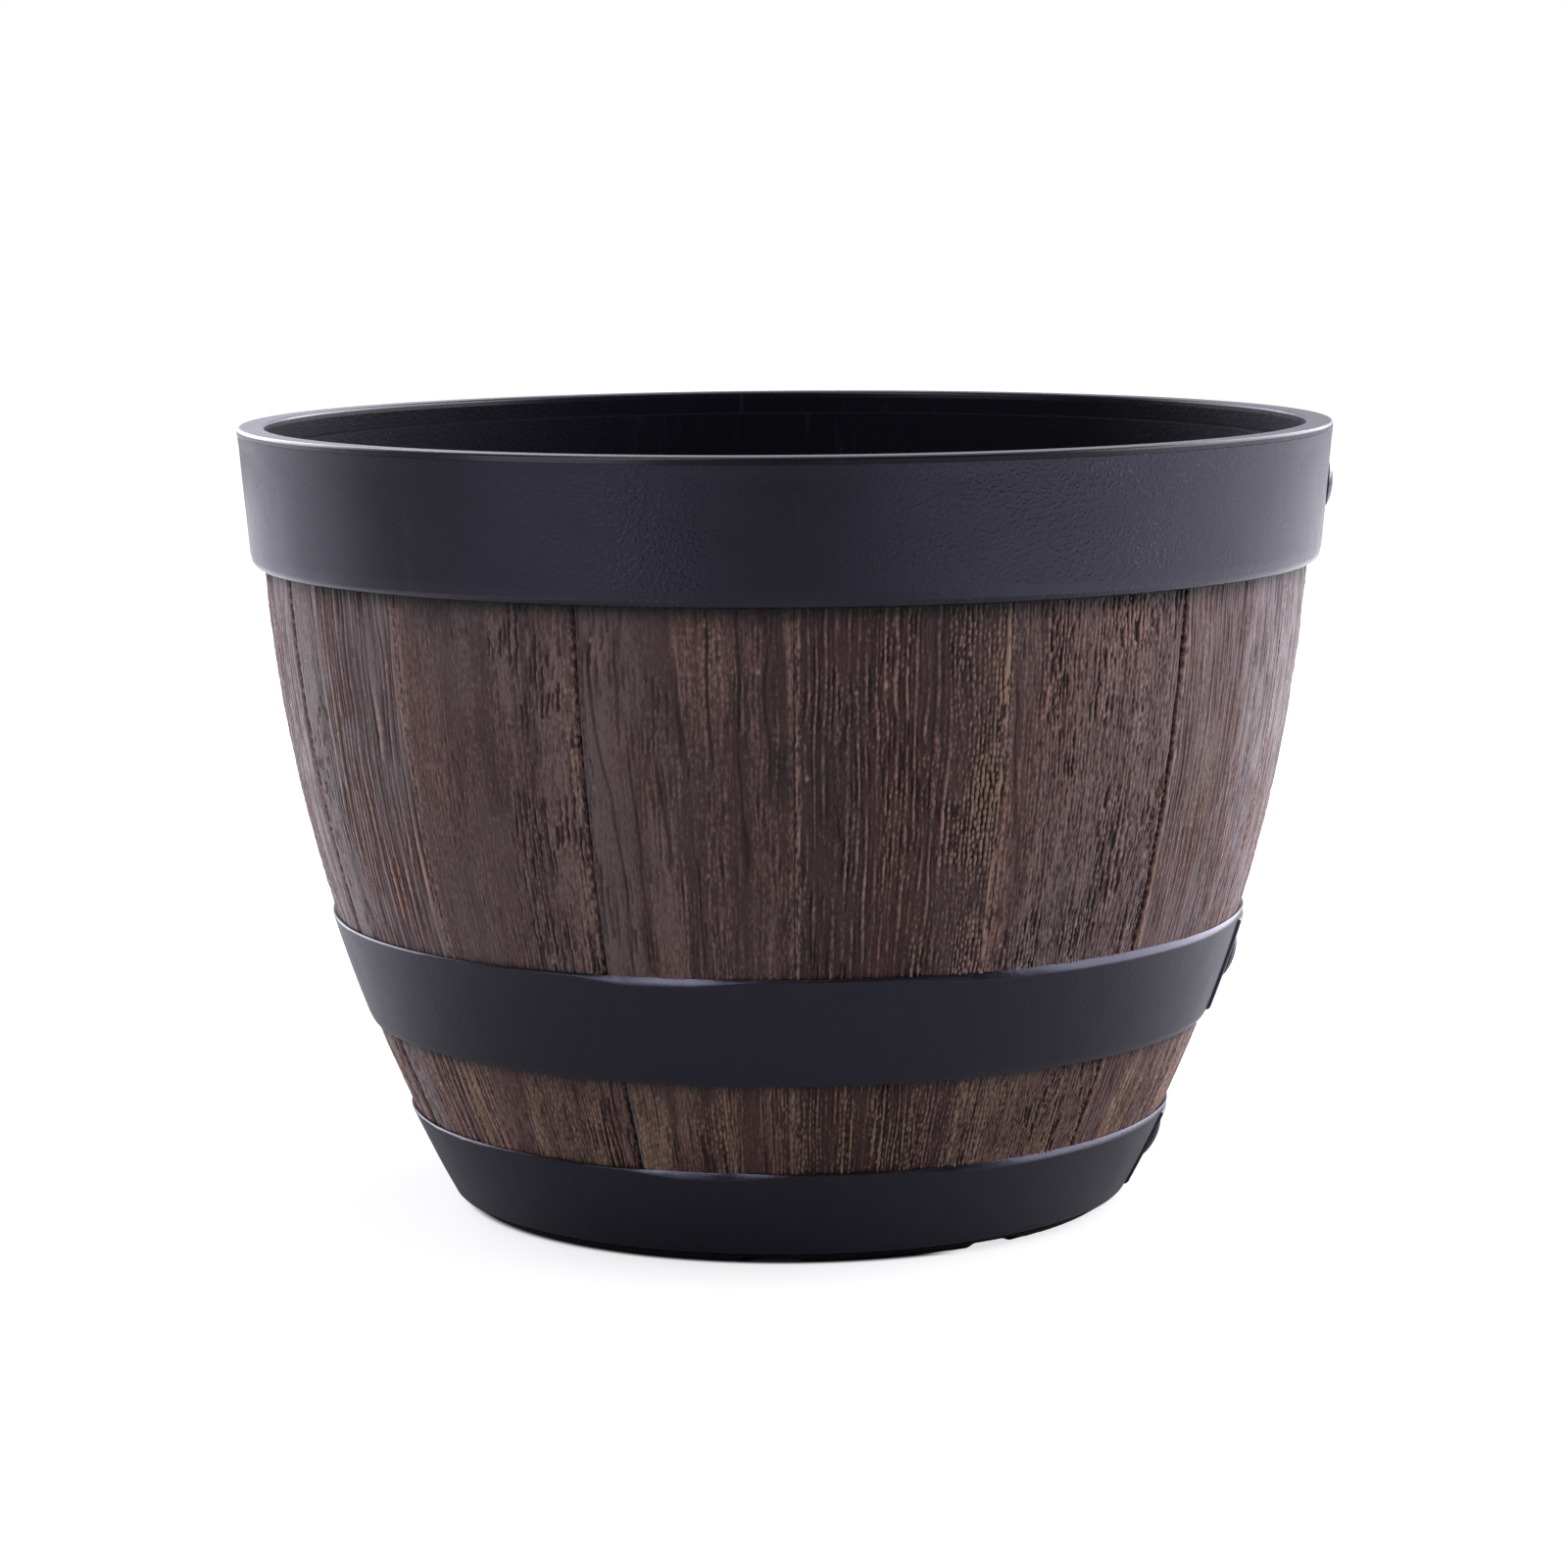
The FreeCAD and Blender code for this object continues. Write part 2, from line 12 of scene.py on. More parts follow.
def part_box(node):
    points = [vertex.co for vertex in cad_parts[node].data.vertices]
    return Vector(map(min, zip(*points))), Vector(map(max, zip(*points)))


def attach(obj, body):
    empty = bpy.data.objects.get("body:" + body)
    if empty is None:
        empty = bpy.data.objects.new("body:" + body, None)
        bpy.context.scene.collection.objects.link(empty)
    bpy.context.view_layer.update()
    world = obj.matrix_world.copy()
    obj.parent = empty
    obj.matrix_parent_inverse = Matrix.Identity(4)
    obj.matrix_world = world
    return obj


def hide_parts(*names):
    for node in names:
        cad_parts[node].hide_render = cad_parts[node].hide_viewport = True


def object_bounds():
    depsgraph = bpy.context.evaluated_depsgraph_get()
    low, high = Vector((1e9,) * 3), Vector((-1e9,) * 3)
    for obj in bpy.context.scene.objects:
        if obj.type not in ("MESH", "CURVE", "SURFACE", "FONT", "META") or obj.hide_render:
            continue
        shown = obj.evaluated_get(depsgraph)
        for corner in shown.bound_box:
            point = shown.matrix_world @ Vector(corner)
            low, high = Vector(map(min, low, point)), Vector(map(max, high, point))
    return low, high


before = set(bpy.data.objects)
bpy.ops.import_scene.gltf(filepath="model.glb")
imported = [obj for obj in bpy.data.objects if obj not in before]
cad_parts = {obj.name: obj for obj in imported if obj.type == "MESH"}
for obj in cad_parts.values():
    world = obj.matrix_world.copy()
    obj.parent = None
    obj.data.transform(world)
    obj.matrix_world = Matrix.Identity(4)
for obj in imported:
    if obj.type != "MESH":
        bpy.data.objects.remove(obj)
CAD_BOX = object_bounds()

bl_info = {
    "name": "Whiskey barrel planter",
    "version": (1, 0, 0),
    "blender": (4, 5, 0),
    "location": "3D View > Sidebar > Planter",
    "description": "Dresses the planter's CAD frame with grained staves, hoops, rivets, plugs and a studio stage",
    "category": "Object",
}

MM = 0.001
PHOTO_PIXELS = 1600
WHITE = (1.0, 1.0, 1.0, 1.0)

# Random draws: cells to a side of the noise's lattice, and the first seed of each band.
LATTICE = 128
SEEDS = {"rim_band": 501, "middle_hoop": 601, "bottom_hoop": 701}

# Meshes: points across a plate's hidden inside, across a stave's outside and round the bands, the height of a stave's
# rows where it shows, and how far those rows run on behind the bands.
BACK_POINTS = 9
STAVE_COLUMNS = 208
RIM_COLUMNS = 720
HOOP_COLUMNS = 840
ROW_HEIGHT = 0.50 * MM
COVER_MARGIN = 1.2 * MM

# Kinds of moulded grain, in shares of the grain's full depth: the level of the ground, thin ridges and the distance
# between them in millimetres, beads, pits and their length in millimetres, long dark streaks, broad columns, and how
# grey the wash on it is.
LOOK_TERMS = ("ground", "comb", "pitch", "bead", "pit", "length", "streak", "broad", "grey")
LOOKS = {
    "combed": (0.42, 0.39, 2.0, 0.38, 0.42, 1.9, 0.10, 0.12, 0.05),
    "ribbed": (0.55, 0.30, 1.7, 0.16, 0.10, 1.6, 0.00, 0.12, 0.70),
    "pale": (0.52, 0.60, 3.1, 0.14, 0.14, 2.4, 0.10, 0.20, 1.10),
    "pebbled": (0.45, 0.12, 2.2, 1.15, 0.60, 1.1, 0.06, 0.10, 0.05),
    "dashed": (0.57, 0.04, 2.6, 0.75, 0.92, 1.8, 0.16, 0.14, 0.45),
    "cut": (0.57, 0.05, 2.6, 0.24, 0.66, 2.6, 0.16, 0.14, 0.60),
    "washed": (0.58, 0.03, 3.0, 0.08, 0.26, 3.6, 0.34, 0.26, 0.85),
    "column": (0.50, 0.10, 3.0, 0.18, 0.26, 1.7, 0.36, 0.24, 0.10),
    "plain": (0.53, 0.03, 2.0, 0.12, 0.28, 0.9, 0.05, 0.14, 0.60),
}

# Each stave's grain at its left and right edge, where one gives way to the other as a share of the width, how light
# the board is, how far its two long edges are rounded, and how brightly those edges are rubbed. How light a board is
# is partly its own lightness and partly painted light: the staves at the sides are made lighter and those at the front
# darker, as the light falls on them. The first stave is to the right of the joint nearest the front.
STAVES = (
    ("combed", "pebbled", 0.70, 0.82, 0.30, 0.40, 0.40, 1.20),
    ("column", "dashed", 0.12, 1.06, 0.45, 1.70, 0.10, 0.15),
    ("ribbed", "ribbed", 0.50, 1.18, 0.55, 0.80, 0.60, 0.30),
    ("ribbed", "pale", 0.50, 1.40, 0.50, 0.90, 0.30, 0.20),
    ("pale", "pebbled", 0.55, 1.04, 0.90, 0.70, 0.20, 0.60),
    ("column", "combed", 0.40, 0.94, 0.70, 1.20, 0.10, 0.40),
    ("pebbled", "dashed", 0.50, 1.00, 1.20, 0.50, 0.30, 0.90),
    ("combed", "washed", 0.65, 0.98, 0.40, 1.10, 0.30, 0.20),
    ("dashed", "combed", 0.35, 1.05, 1.00, 0.60, 0.50, 0.70),
    ("washed", "column", 0.50, 0.96, 0.60, 1.20, 0.20, 0.30),
    ("combed", "pebbled", 0.60, 1.02, 1.10, 0.40, 0.20, 0.90),
    ("dashed", "ribbed", 0.50, 1.06, 0.60, 0.90, 0.30, 0.50),
    ("ribbed", "ribbed", 0.50, 1.40, 0.50, 1.50, 0.30, 0.00),
    ("plain", "pale", 0.32, 1.14, 1.60, 0.45, 0.20, 0.35),
    ("plain", "cut", 0.58, 0.94, 0.40, 0.95, 0.15, 0.40),
    ("washed", "column", 0.42, 0.88, 1.60, 0.30, 0.00, 0.35),
)

# Height of the hoops' upper shoulder, as a share of the full bevel, at directions from the front in degrees.
SHOULDERS = {
    "middle_hoop": (
        (-180, -130, -95, -80, -62, -46, -26, -20, -12, -4, 14, 22, 38, 58, 72, 82, 100, 140, 180),
        (0.4, 0.8, 0.1, 0.15, 0.25, 0.15, 0.25, 0.95, 1.0, 0.3, 0.25, 0.9, 1.0, 0.85, 0.6, 0.1, 0.1, 0.8, 0.4)),
    "bottom_hoop": (
        (-180, -130, -95, -74, -52, -40, -24, -17, -8, 0, 14, 22, 32, 56, 70, 82, 100, 140, 180),
        (0.4, 0.8, 0.1, 0.15, 0.35, 0.15, 0.2, 0.85, 0.95, 0.25, 0.25, 0.85, 0.95, 0.8, 0.5, 0.1, 0.1, 0.8, 0.4)),
}

# Golden rubbed places: stave, share of the width, height, half width and half length in millimetres, strength.
GOLDEN = (
    (15, 0.96, 104, 1.4, 16, 0.4), (15, 0.94, 76, 1.8, 11, 0.35), (16, 0.5, 30, 9, 7, 0.6),
    (15, 0.5, 30, 12, 9, 0.5), (16, 0.62, 126, 3, 12, 0.35), (16, 0.93, 108, 1, 6, 0.6),
    (1, 0.91, 98, 2.6, 12, 1), (1, 0.95, 124, 1.6, 14, 0.7), (1, 0.62, 66, 1.6, 7, 0.5),
    (2, 0.55, 30, 8, 6, 0.6), (3, 0.3, 96, 3, 14, 0.4), (14, 0.97, 118, 1.6, 20, 0.25),
    (5, 0.2, 110, 3, 16, 0.6), (7, 0.85, 90, 3, 14, 0.8), (8, 0.4, 32, 9, 6, 0.6),
    (9, 0.12, 100, 2.4, 18, 0.8), (11, 0.9, 84, 2.6, 12, 0.8), (12, 0.5, 30, 9, 6, 0.5),
)

# Dark stains in the wash, in the same terms.
STAINS = (
    (16, 0.95, 104, 2.4, 9, 1), (16, 0.9, 112, 7, 30, 0.3), (16, 0.05, 128, 0.9, 3, 0.7),
    (16, 0.1, 120, 0.7, 3.5, 0.7), (16, 0.2, 129, 0.7, 2.2, 0.6), (15, 0.22, 133, 6, 5, 0.5),
    (15, 0.8, 128, 0.6, 7, 0.6), (15, 0.68, 112, 0.6, 9, 0.5), (14, 0.92, 96, 3, 10, 0.3),
    (1, 0.16, 112, 4, 24, 0.25), (2, 0.5, 30, 26, 10, 0.36), (4, 0.4, 120, 0.8, 8, 0.6),
    (7, 0.3, 112, 0.8, 9, 0.7), (9, 0.7, 126, 1, 4, 0.7), (12, 0.6, 104, 0.8, 10, 0.6),
)

# Pale places on the boards, in the same terms: bleached patches, which on the staves at the sides are also painted
# light, lighter where the light falls brightly.
PALE_PLACES_AND_PAINTED_LIGHT = (
    (3, 1, 112, 21, 44, 0.9), (4, 0.2, 112, 16, 40, 0.8), (13, 0.9, 100, 18, 50, 0.9),
    (9, 0.4, 104, 16, 30, 0.4),
)

# Lamps: where each stands, where it aims, and its width and height, in metres.
LAMPS = {
    "right": ((1.0, 0.45, 0.54), (0.25, 0.15, 0.09), (2.3, 0.9)),
    "left": ((-0.95, 0.98, 0.56), (-0.20, 0.25, 0.09), (1.5, 0.9)),
    "top": ((0.05, -0.10, 1.15), (0.0, 0.0, 0.10), (1.1, 0.7)),
    "front": ((-0.84, -0.82, 0.40), (0.0, 0.0, 0.09), (0.8, 0.8)),
    "spark": ((-0.48, -0.88, 0.67), (0.0, 0.0, 0.09), (0.42, 0.30)),
}


# Properties


def length(name, description, default):
    """Property for a length in metres."""
    return FloatProperty(name=name, description=description, default=default, unit="LENGTH")


def angle(name, description, default):
    """Property for an angle in radians."""
    return FloatProperty(name=name, description=description, default=default, subtype="ANGLE", unit="ROTATION")


def power(name, description, default):
    """Property for a lamp's power in watts."""
    return FloatProperty(name=name, description=description, default=default, min=0.0, unit="POWER")


def swatch(name, description, default):
    """Property for an opaque colour."""
    return FloatVectorProperty(name=name, description=description, default=(*default, 1.0), subtype="COLOR", size=4)


class PlanterShape(bpy.types.PropertyGroup):
    """Sizes of the barrel that the dressed pieces follow."""

    belly_radius: length("Belly radius", "Widest outside of the staves", 0.10985)
    belly_height: length("Belly height", "Height of that widest place", 0.1582)
    stave_arc: length("Stave arc", "Radius of the bow along a stave", 0.330)
    stave_thickness: length("Stave thickness", "Thickness of a stave", 0.0036)
    stave_gap: length("Stave gap", "Open joint between two staves at the belly", 0.00008)
    stave_edge: length("Stave edge", "Rounding of a stave's long outer edges", 0.0008)
    joint_angle: angle(
        "Joint angle", "Direction of the stave joint nearest the front, counted towards +X", math.radians(0.7))
    grain_depth: length("Grain depth", "Deepest cut of the moulded grain", 0.00060)
    grain_seed: IntProperty(
        name="Grain seed", description="Number that the grain of every stave is drawn from", default=41, min=0)
    shell_clearance: length("Shell clearance", "Room between nested curved faces", 0.0003)
    rim_underside: length("Rim band underside", "Flat of the rim band's underside, inside its rounding", 0.0004)
    rim_setback: length("Rim band setback", "Top of the rim band inside the lip", 0.00005)
    rim_rounding: length("Rim band rounding", "Rounded lower edge of the rim band", 0.0020)
    rim_overlap: length("Rim band overlap", "Top of the rim band above the CAD band's, up to the lip", 0.00011)
    rim_rivet_drop: length("Rim rivet drop", "Upper edge of the rim band down to its rivets", 0.012)
    hoop_thickness: length("Hoop thickness", "Thickness of a hoop", 0.0005)
    hoop_land: length("Hoop land", "Square part of a hoop's edge", 0.00025)
    hoop_bevel: length("Hoop bevel", "Height of the bevel on a hoop's edge", 0.0017)
    hoop_wander: length("Hoop wander", "How far a hoop's edge wanders from stave to stave", 0.00035)
    hoop_rise: length("Hoop rise", "Lower edge of the middle hoop above the CAD hoop's", 0.0011)
    lap_thickness: length("Lap thickness", "Overlapping end of a hoop, above the hoop", 0.0006)
    lap_angle: angle("Lap angle", "Angle that the overlap covers", math.radians(24.0))
    lap_inset: length("Lap inset", "Overlap inside the hoop's bevels", 0.0004)
    lap_rounding: length("Lap rounding", "Rounded edges of the overlap", 0.00055)
    rivet_angle: angle("Rivet angle", "Angle of each rivet from the middle of the overlap", math.radians(5.0))
    rivet_radius: length("Rivet head radius", "Radius of a rivet head", 0.0044)
    rivet_height: length("Rivet head height", "Height of a rivet head", 0.0011)


class PlanterFinish(bpy.types.PropertyGroup):
    """Colours of the planter's surfaces."""

    groove_brown: swatch("Groove brown", "Dark wash left in the grain", (0.014, 0.0076, 0.0068))
    board_brown: swatch("Board brown", "Main brown of the staves", (0.068, 0.0352, 0.0296))
    ridge_brown: swatch("Ridge brown", "Rubbed ridges of the grain", (0.350, 0.222, 0.176))
    grey_wash: swatch("Grey wash", "Cool grey on the smoother boards", (0.100, 0.079, 0.078))
    gold_rub: swatch("Gold rub", "Golden brown where a board is rubbed through", (0.360, 0.243, 0.148))
    # Also the pale ridges of the pale places, which on the staves at the sides are partly painted light.
    speck_grey: swatch("Speck grey", "Pale specks and bleached ridges on the boards", (0.42, 0.39, 0.385))
    resin_black: swatch("Resin black", "Black of the rim band, hoops and rivets", (0.0058, 0.0055, 0.0075))
    pot_black: swatch("Pot black", "Black of the inner pot", (0.0036, 0.0035, 0.0056))
    resin_rub: swatch("Resin rub", "Black resin where it is rubbed pale", (0.030, 0.029, 0.037))
    resin_sheen: swatch("Resin sheen", "Lavender cast of the light that the black resin throws back", (0.78, 0.77, 1.0))
    rubber_black: swatch("Rubber black", "Drain plugs", (0.012, 0.012, 0.012))
    dust_grey: swatch("Dust grey", "Dust that has settled", (0.16, 0.15, 0.14))


class PlanterStudio(bpy.types.PropertyGroup):
    """Camera and light of the studio stage."""

    camera_place: FloatVectorProperty(
        name="Camera place", description="Where the camera stands", subtype="XYZ", unit="LENGTH",
        default=(-0.00071, -0.9408, 0.22067))
    camera_tilt: angle("Camera tilt", "How far the camera looks down", 0.141274)
    camera_roll: angle("Camera roll", "How far the camera leans", 0.0071232)
    focal_pixels: FloatProperty(
        name="Focal length", description="Focal length in pixels of the photograph's frame", default=4574.4,
        subtype="PIXEL")
    right_power: power("Right box", "Power of the broad light on the right", 33.5)
    left_power: power("Left box", "Power of the light behind on the left", 20.0)
    top_power: power("Top box", "Power of the light overhead", 6.0)
    front_power: power("Front box", "Power of the dim light in front on the left", 3.6)
    spark_power: power("Spark box", "Power of the small light above the camera", 2.3)
    lamp_tint: swatch("Lamp tint", "Colour of the lamps", (0.91, 0.895, 1.0))
    floor_grey: swatch("Floor", "Colour of the floor", (0.42, 0.42, 0.42))
    # Painted reflection: the floor's glow as seen in reflections.
    floor_glow: swatch("Floor glow", "Colour of the lit floor in reflections", (0.92, 0.90, 1.0))
    world_tint: swatch("World tint", "Colour of the surroundings in reflections", (0.88, 0.86, 1.0))


# Surfaces


def span(node):
    """Lowest and highest z of a CAD node."""
    low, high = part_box(node)
    return low.z, high.z


def fade(step):
    """Curve 6t^5 - 15t^4 + 10t^3 that joins two lattice values without a crease."""
    return step**3 * (step * (step * 6 - 15) + 10)


def drift(across, along, seed, wrap=0):
    """Value noise from 0 to 1: random numbers on a unit lattice, blended over each cell by the fade curve.

    The lattice repeats after wrap cells across, where wrap is given, so a ring closes on itself.
    """
    table = np.random.default_rng(seed).random((LATTICE, LATTICE))
    column = np.floor(across).astype(int)
    row = np.floor(along).astype(int)
    u = fade(across - column)
    v = fade(along - row)
    count = wrap or LATTICE
    left, right = column % count, (column + 1) % count
    low, high = row % LATTICE, (row + 1) % LATTICE
    below = table[left, low] * (1 - u) + table[right, low] * u
    above = table[left, high] * (1 - u) + table[right, high] * u
    return below * (1 - v) + above * v


def step_up(low, high, values):
    """Smooth step from 0 at low to 1 at high."""
    share = np.clip((values - low) / (high - low), 0.0, 1.0)
    return share * share * (3 - 2 * share)


def bell(*pairs):
    """Bell exp(-(x/w)^2 - (y/h)^2) of distances that are each followed by the bell's half width there."""
    return np.exp(-sum((away / half) ** 2 for away, half in zip(pairs[::2], pairs[1::2])))


def edge_drop(distance, rounding):
    """Depth of a quarter round at a distance from its edge: R - sqrt(R^2 - (R - d)^2), and 0 past the round."""
    short = np.clip(rounding - distance, 0.0, rounding)
    return rounding - np.sqrt(rounding**2 - short**2)


def bowed(shape, height, offset):
    """Radius of the barrel: the bow's centre line plus its own circle, moved out by an offset along its normal."""
    reach = shape.stave_arc + offset
    return shape.belly_radius - shape.stave_arc + np.sqrt(reach**2 - (height - shape.belly_height) ** 2)


def rim_face(shape):
    """Radius of the rim band's straight face at its foot, as if it weren't rounded there, and at its top."""
    foot = bowed(shape, span("rim_band")[0], shape.shell_clearance) + shape.rim_rounding + shape.rim_underside
    return foot, CAD_BOX[1].y - shape.rim_setback


def from_front(around):
    """Direction in degrees from the front, from -180 to 180, of shares of a turn counted from +X."""
    return (around * 360.0 + 270.0) % 360.0 - 180.0


def put(name, data):
    """New object of the scene."""
    item = bpy.data.objects.new(name, data)
    bpy.context.scene.collection.objects.link(item)
    return item


def mesh_from(name, points, faces, body, nodes, values=None, sharp=40.0):
    """Mesh object from arrays of points and faces, with per-point values, riding on a body in place of CAD nodes."""
    mesh = bpy.data.meshes.new(name)
    mesh.from_pydata(points.reshape(-1, 3).tolist(), [], faces)
    for label, numbers in (values or {}).items():
        flat = np.ascontiguousarray(numbers, dtype=np.float32)
        kind, entry = ("FLOAT_VECTOR", "vector") if flat.ndim == 2 else ("FLOAT", "value")
        mesh.attributes.new(label, kind, "POINT").data.foreach_set(entry, flat.ravel())
    mesh.update()
    mesh.validate()
    mesh.shade_smooth()
    mesh.set_sharp_from_angle(angle=math.radians(sharp))
    piece = put(name, mesh)
    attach(piece, body)
    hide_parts(*nodes)
    return piece


def strip_faces(rows, columns, closed_rows=False, start=0):
    """Quads of a grid whose columns close on themselves, and whose rows do too where asked."""
    row = np.arange(rows if closed_rows else rows - 1)[:, None]
    column = np.arange(columns)[None, :]
    beside = (column + 1) % columns
    above = (row + 1) % rows
    corners = (row * columns + column, row * columns + beside, above * columns + beside, above * columns + column)
    return (np.stack(np.broadcast_arrays(*corners), axis=-1).reshape(-1, 4) + start).tolist()


def with_back(values):
    """Values over a plate's outside, with zeros added to each row for its hidden inside."""
    return np.concatenate([values, np.zeros((len(values), BACK_POINTS))], axis=1)


def turned(radius, angles, height):
    """Points at (r cos a, r sin a, h)."""
    corners = np.broadcast_arrays(radius * np.cos(angles), radius * np.sin(angles), height)
    return np.stack(corners, axis=-1).reshape(-1, 3)


def bowed_plate(shape, facing, half, heights, across, outer, inner, start=0):
    """Closed bowed plate: points and faces.

    At each height the section runs along the outside at angles facing + half * across, at the offsets in outer, and
    back along the inside at the offset inner. A point lies at (r cos a, r sin a, height), with r the bowed radius.
    """
    back = np.linspace(1.0, -1.0, BACK_POINTS)
    angles = facing + half * np.concatenate([across, back])
    offsets = np.concatenate([outer, np.full((len(heights), BACK_POINTS), inner)], axis=1)
    radius = bowed(shape, heights[:, None], offsets)
    rows, columns = radius.shape
    faces = strip_faces(rows, columns, start=start)
    faces.append((np.arange(columns)[::-1] + start).tolist())
    faces.append((np.arange(columns) + (rows - 1) * columns + start).tolist())
    return turned(radius, angles, heights[:, None]), faces


def turned_ring(radius, height):
    """Closed ring: a section loop carried round the axis.

    radius and height have one row for each point of the loop and one column for each direction round the axis. A
    point lies at (r cos a, r sin a, h).
    """
    angles = np.linspace(0.0, 2 * np.pi, radius.shape[1], endpoint=False)
    return turned(radius, angles, height), strip_faces(*radius.shape, closed_rows=True)


def turned_solid(profile, columns, start=0):
    """Solid of revolution: a profile of (radius, height), from the axis below to the axis above, turned about Z."""
    rings = np.array(profile[1:-1])
    angles = np.linspace(0.0, 2 * np.pi, columns, endpoint=False)
    ends = np.array([[0.0, 0.0, profile[0][1]], [0.0, 0.0, profile[-1][1]]])
    points = np.concatenate([turned(rings[:, :1], angles, rings[:, 1:]), ends])
    faces = strip_faces(len(rings), columns, start=start)
    here = np.arange(columns)
    beside = (here + 1) % columns
    low = len(rings) * columns
    top = (len(rings) - 1) * columns
    below = np.stack([np.full(columns, low), beside, here], axis=1) + start
    above = np.stack([np.full(columns, low + 1), top + here, top + beside], axis=1) + start
    return points, faces + below.tolist() + above.tolist()


# Grain of the staves


def scatter(across, along, wide, tall, seed):
    """Marks scattered one to a cell of a jittered grid, whose columns are each shifted along by a draw of their own:
    the distance from the cell's mark, across and along, in millimetres, and the mark's own random number, 0 to 1."""
    table = np.random.default_rng(seed).random((3, LATTICE, LATTICE))
    column = np.floor(across / wide).astype(int)
    along = along + tall * table[0, column % LATTICE, 5]
    row = np.floor(along / tall).astype(int)
    pick = (column % LATTICE, row % LATTICE)
    beside = across / wide - column - 0.30 - 0.40 * table[0][pick]
    above = along / tall - row - 0.35 - 0.30 * table[1][pick]
    return beside * wide, above * tall, table[2][pick]


def dabs(places, number, across, along, width):
    """Strongest of a stave's dabs, each a bell over the distances from its middle."""
    field = np.zeros_like(across)
    for stave, middle, high, half_width, half_length, amount in places:
        if stave == number:
            spread = bell(across - (middle - 0.5) * width, half_width, along - high, half_length)
            field = np.maximum(field, amount * spread)
    return field


def board_fields(number, share, height, shape):
    """Relief and colour fields of one stave, over shares of its width from 0 to 1 and heights in metres, and how far
    its edges are rounded.

    The surface stands at a ground level. Thin ridges run along the board, each exp(-(t/w)^2) of the distance t from
    its line, with a thin groove beside it, and a strength of its own that fades along the board. Pits and beads are
    small bells of the same kind, scattered one to a cell. Streaks are long thin grooves, and broad columns are a slow
    noise. A slow sway bends all of them, and every share moves from the left look to the right look across the board.
    Distances, and the widths of the noises and bells, are in millimetres.
    """
    # light: each board's own lightness, with painted light on the staves at the sides and painted shade on those at the
    # front.
    left, right, turn, light, left_round, right_round, left_rub, right_rub = STAVES[number - 1]
    seed = shape.grain_seed + 100 * number
    width = (shape.belly_radius * 2 * np.pi / len(STAVES)) / MM
    across = (share - 0.5) * width
    along = height / MM

    def noise(place, wide, tall, draw):
        return drift(place / wide, along / tall, seed + draw)

    # Looks of the two edges, and the sway that bends the grain.
    ends = [dict(zip(LOOK_TERMS, LOOKS[name])) for name in (left, right)]
    mix = step_up(turn - 0.12, turn + 0.12, share + 0.12 * (noise(share, 0.25, 22, 1) - 0.5))
    look = {term: ends[0][term] * (1 - mix) + ends[1][term] * mix for term in LOOK_TERMS}
    place = across + (1.6 * (noise(across, 17, 48, 2) - 0.5) + 0.9 * (noise(across, 4, 11, 3) - 0.5))

    # Ridges, with a groove beside each and a weaker line halfway.
    pitch = max(ends, key=lambda end: end["comb"])["pitch"]
    phase = place / pitch + 0.8 * noise(place, 5.5, 60, 4) + 0.3 * noise(place, 2.3, 20, 5)
    line = np.floor(phase + 0.5)
    away = (phase - line) * pitch
    strength = 0.25 + 0.85 * step_up(0.20, 0.80, noise(line * 3.7, 1, 7, 6))
    ridge = bell(away, 0.15 * pitch) * strength * (0.55 + 0.80 * noise(line * 2.3, 1, 0.95, 17))
    groove = bell(np.abs(away) - 0.31 * pitch, 0.15 * pitch) * strength
    half_line = bell(np.abs(away) - pitch / 2, 0.11 * pitch) * noise(line * 1.9 + 3, 1, 8, 18)
    comb = ridge - 0.55 * groove + 0.45 * half_line

    # Beads with a hollow beside each, pits with a lip beside each, and pricks.
    patch = 0.15 + 0.85 * step_up(0.36, 0.64, noise(across, 5.5, 13, 8))
    beside, above, odd = scatter(place, along, 0.95, 1.45, seed + 9)
    bead = bell(beside, 0.30, above, 0.48) * (0.35 + 0.9 * odd)
    hollow = bell(beside - 0.42, 0.20, above, 0.55) * (0.35 + 0.9 * odd)
    beside, above, odd = scatter(place, along, 1.25, 5.2, seed + 20)
    beside = beside + 0.45 * (noise(place, 0.8, 1.3, 27) - 0.5)
    slim = 0.22 + 0.22 * odd * noise(place, 1.1, 1.6, 28)
    ending = np.exp(-((above / (look["length"] * (0.35 + 1.1 * odd))) ** 4)) * step_up(0.25, 0.70, odd) * patch
    pit = bell(beside, slim) * ending
    lip = bell(beside - 0.20 - slim, 0.20) * ending
    beside, above, odd = scatter(place + 0.6, along, 0.80, 1.9, seed + 24)
    prick = bell(beside, 0.19, above, 0.25 + 0.5 * odd) * step_up(0.45, 0.85, odd)

    # Streaks, fibre and broad columns, and the level that all of these make.
    run = place / 5.6 + 1.2 * noise(place, 9, 40, 21) + 0.20 * noise(place, 2, 9, 25)
    nearest = np.floor(run + 0.5)
    streak = bell((run - nearest) * 5.6, 0.34) * step_up(0.30, 0.62, noise(nearest * 2.9, 1, 19, 26))
    fibre = noise(place, 0.30, 5, 7) - 0.5
    column = noise(place, 3.4, 70, 10) - 0.5
    level = look["ground"] + look["comb"] * comb + look["bead"] * (0.3 + 0.8 * patch) * (bead - 0.7 * hollow)
    level -= look["pit"] * (1.15 * pit - 0.50 * lip + 0.5 * prick)
    level += look["broad"] * column + (0.05 + 0.09 * patch) * fibre - look["streak"] * streak

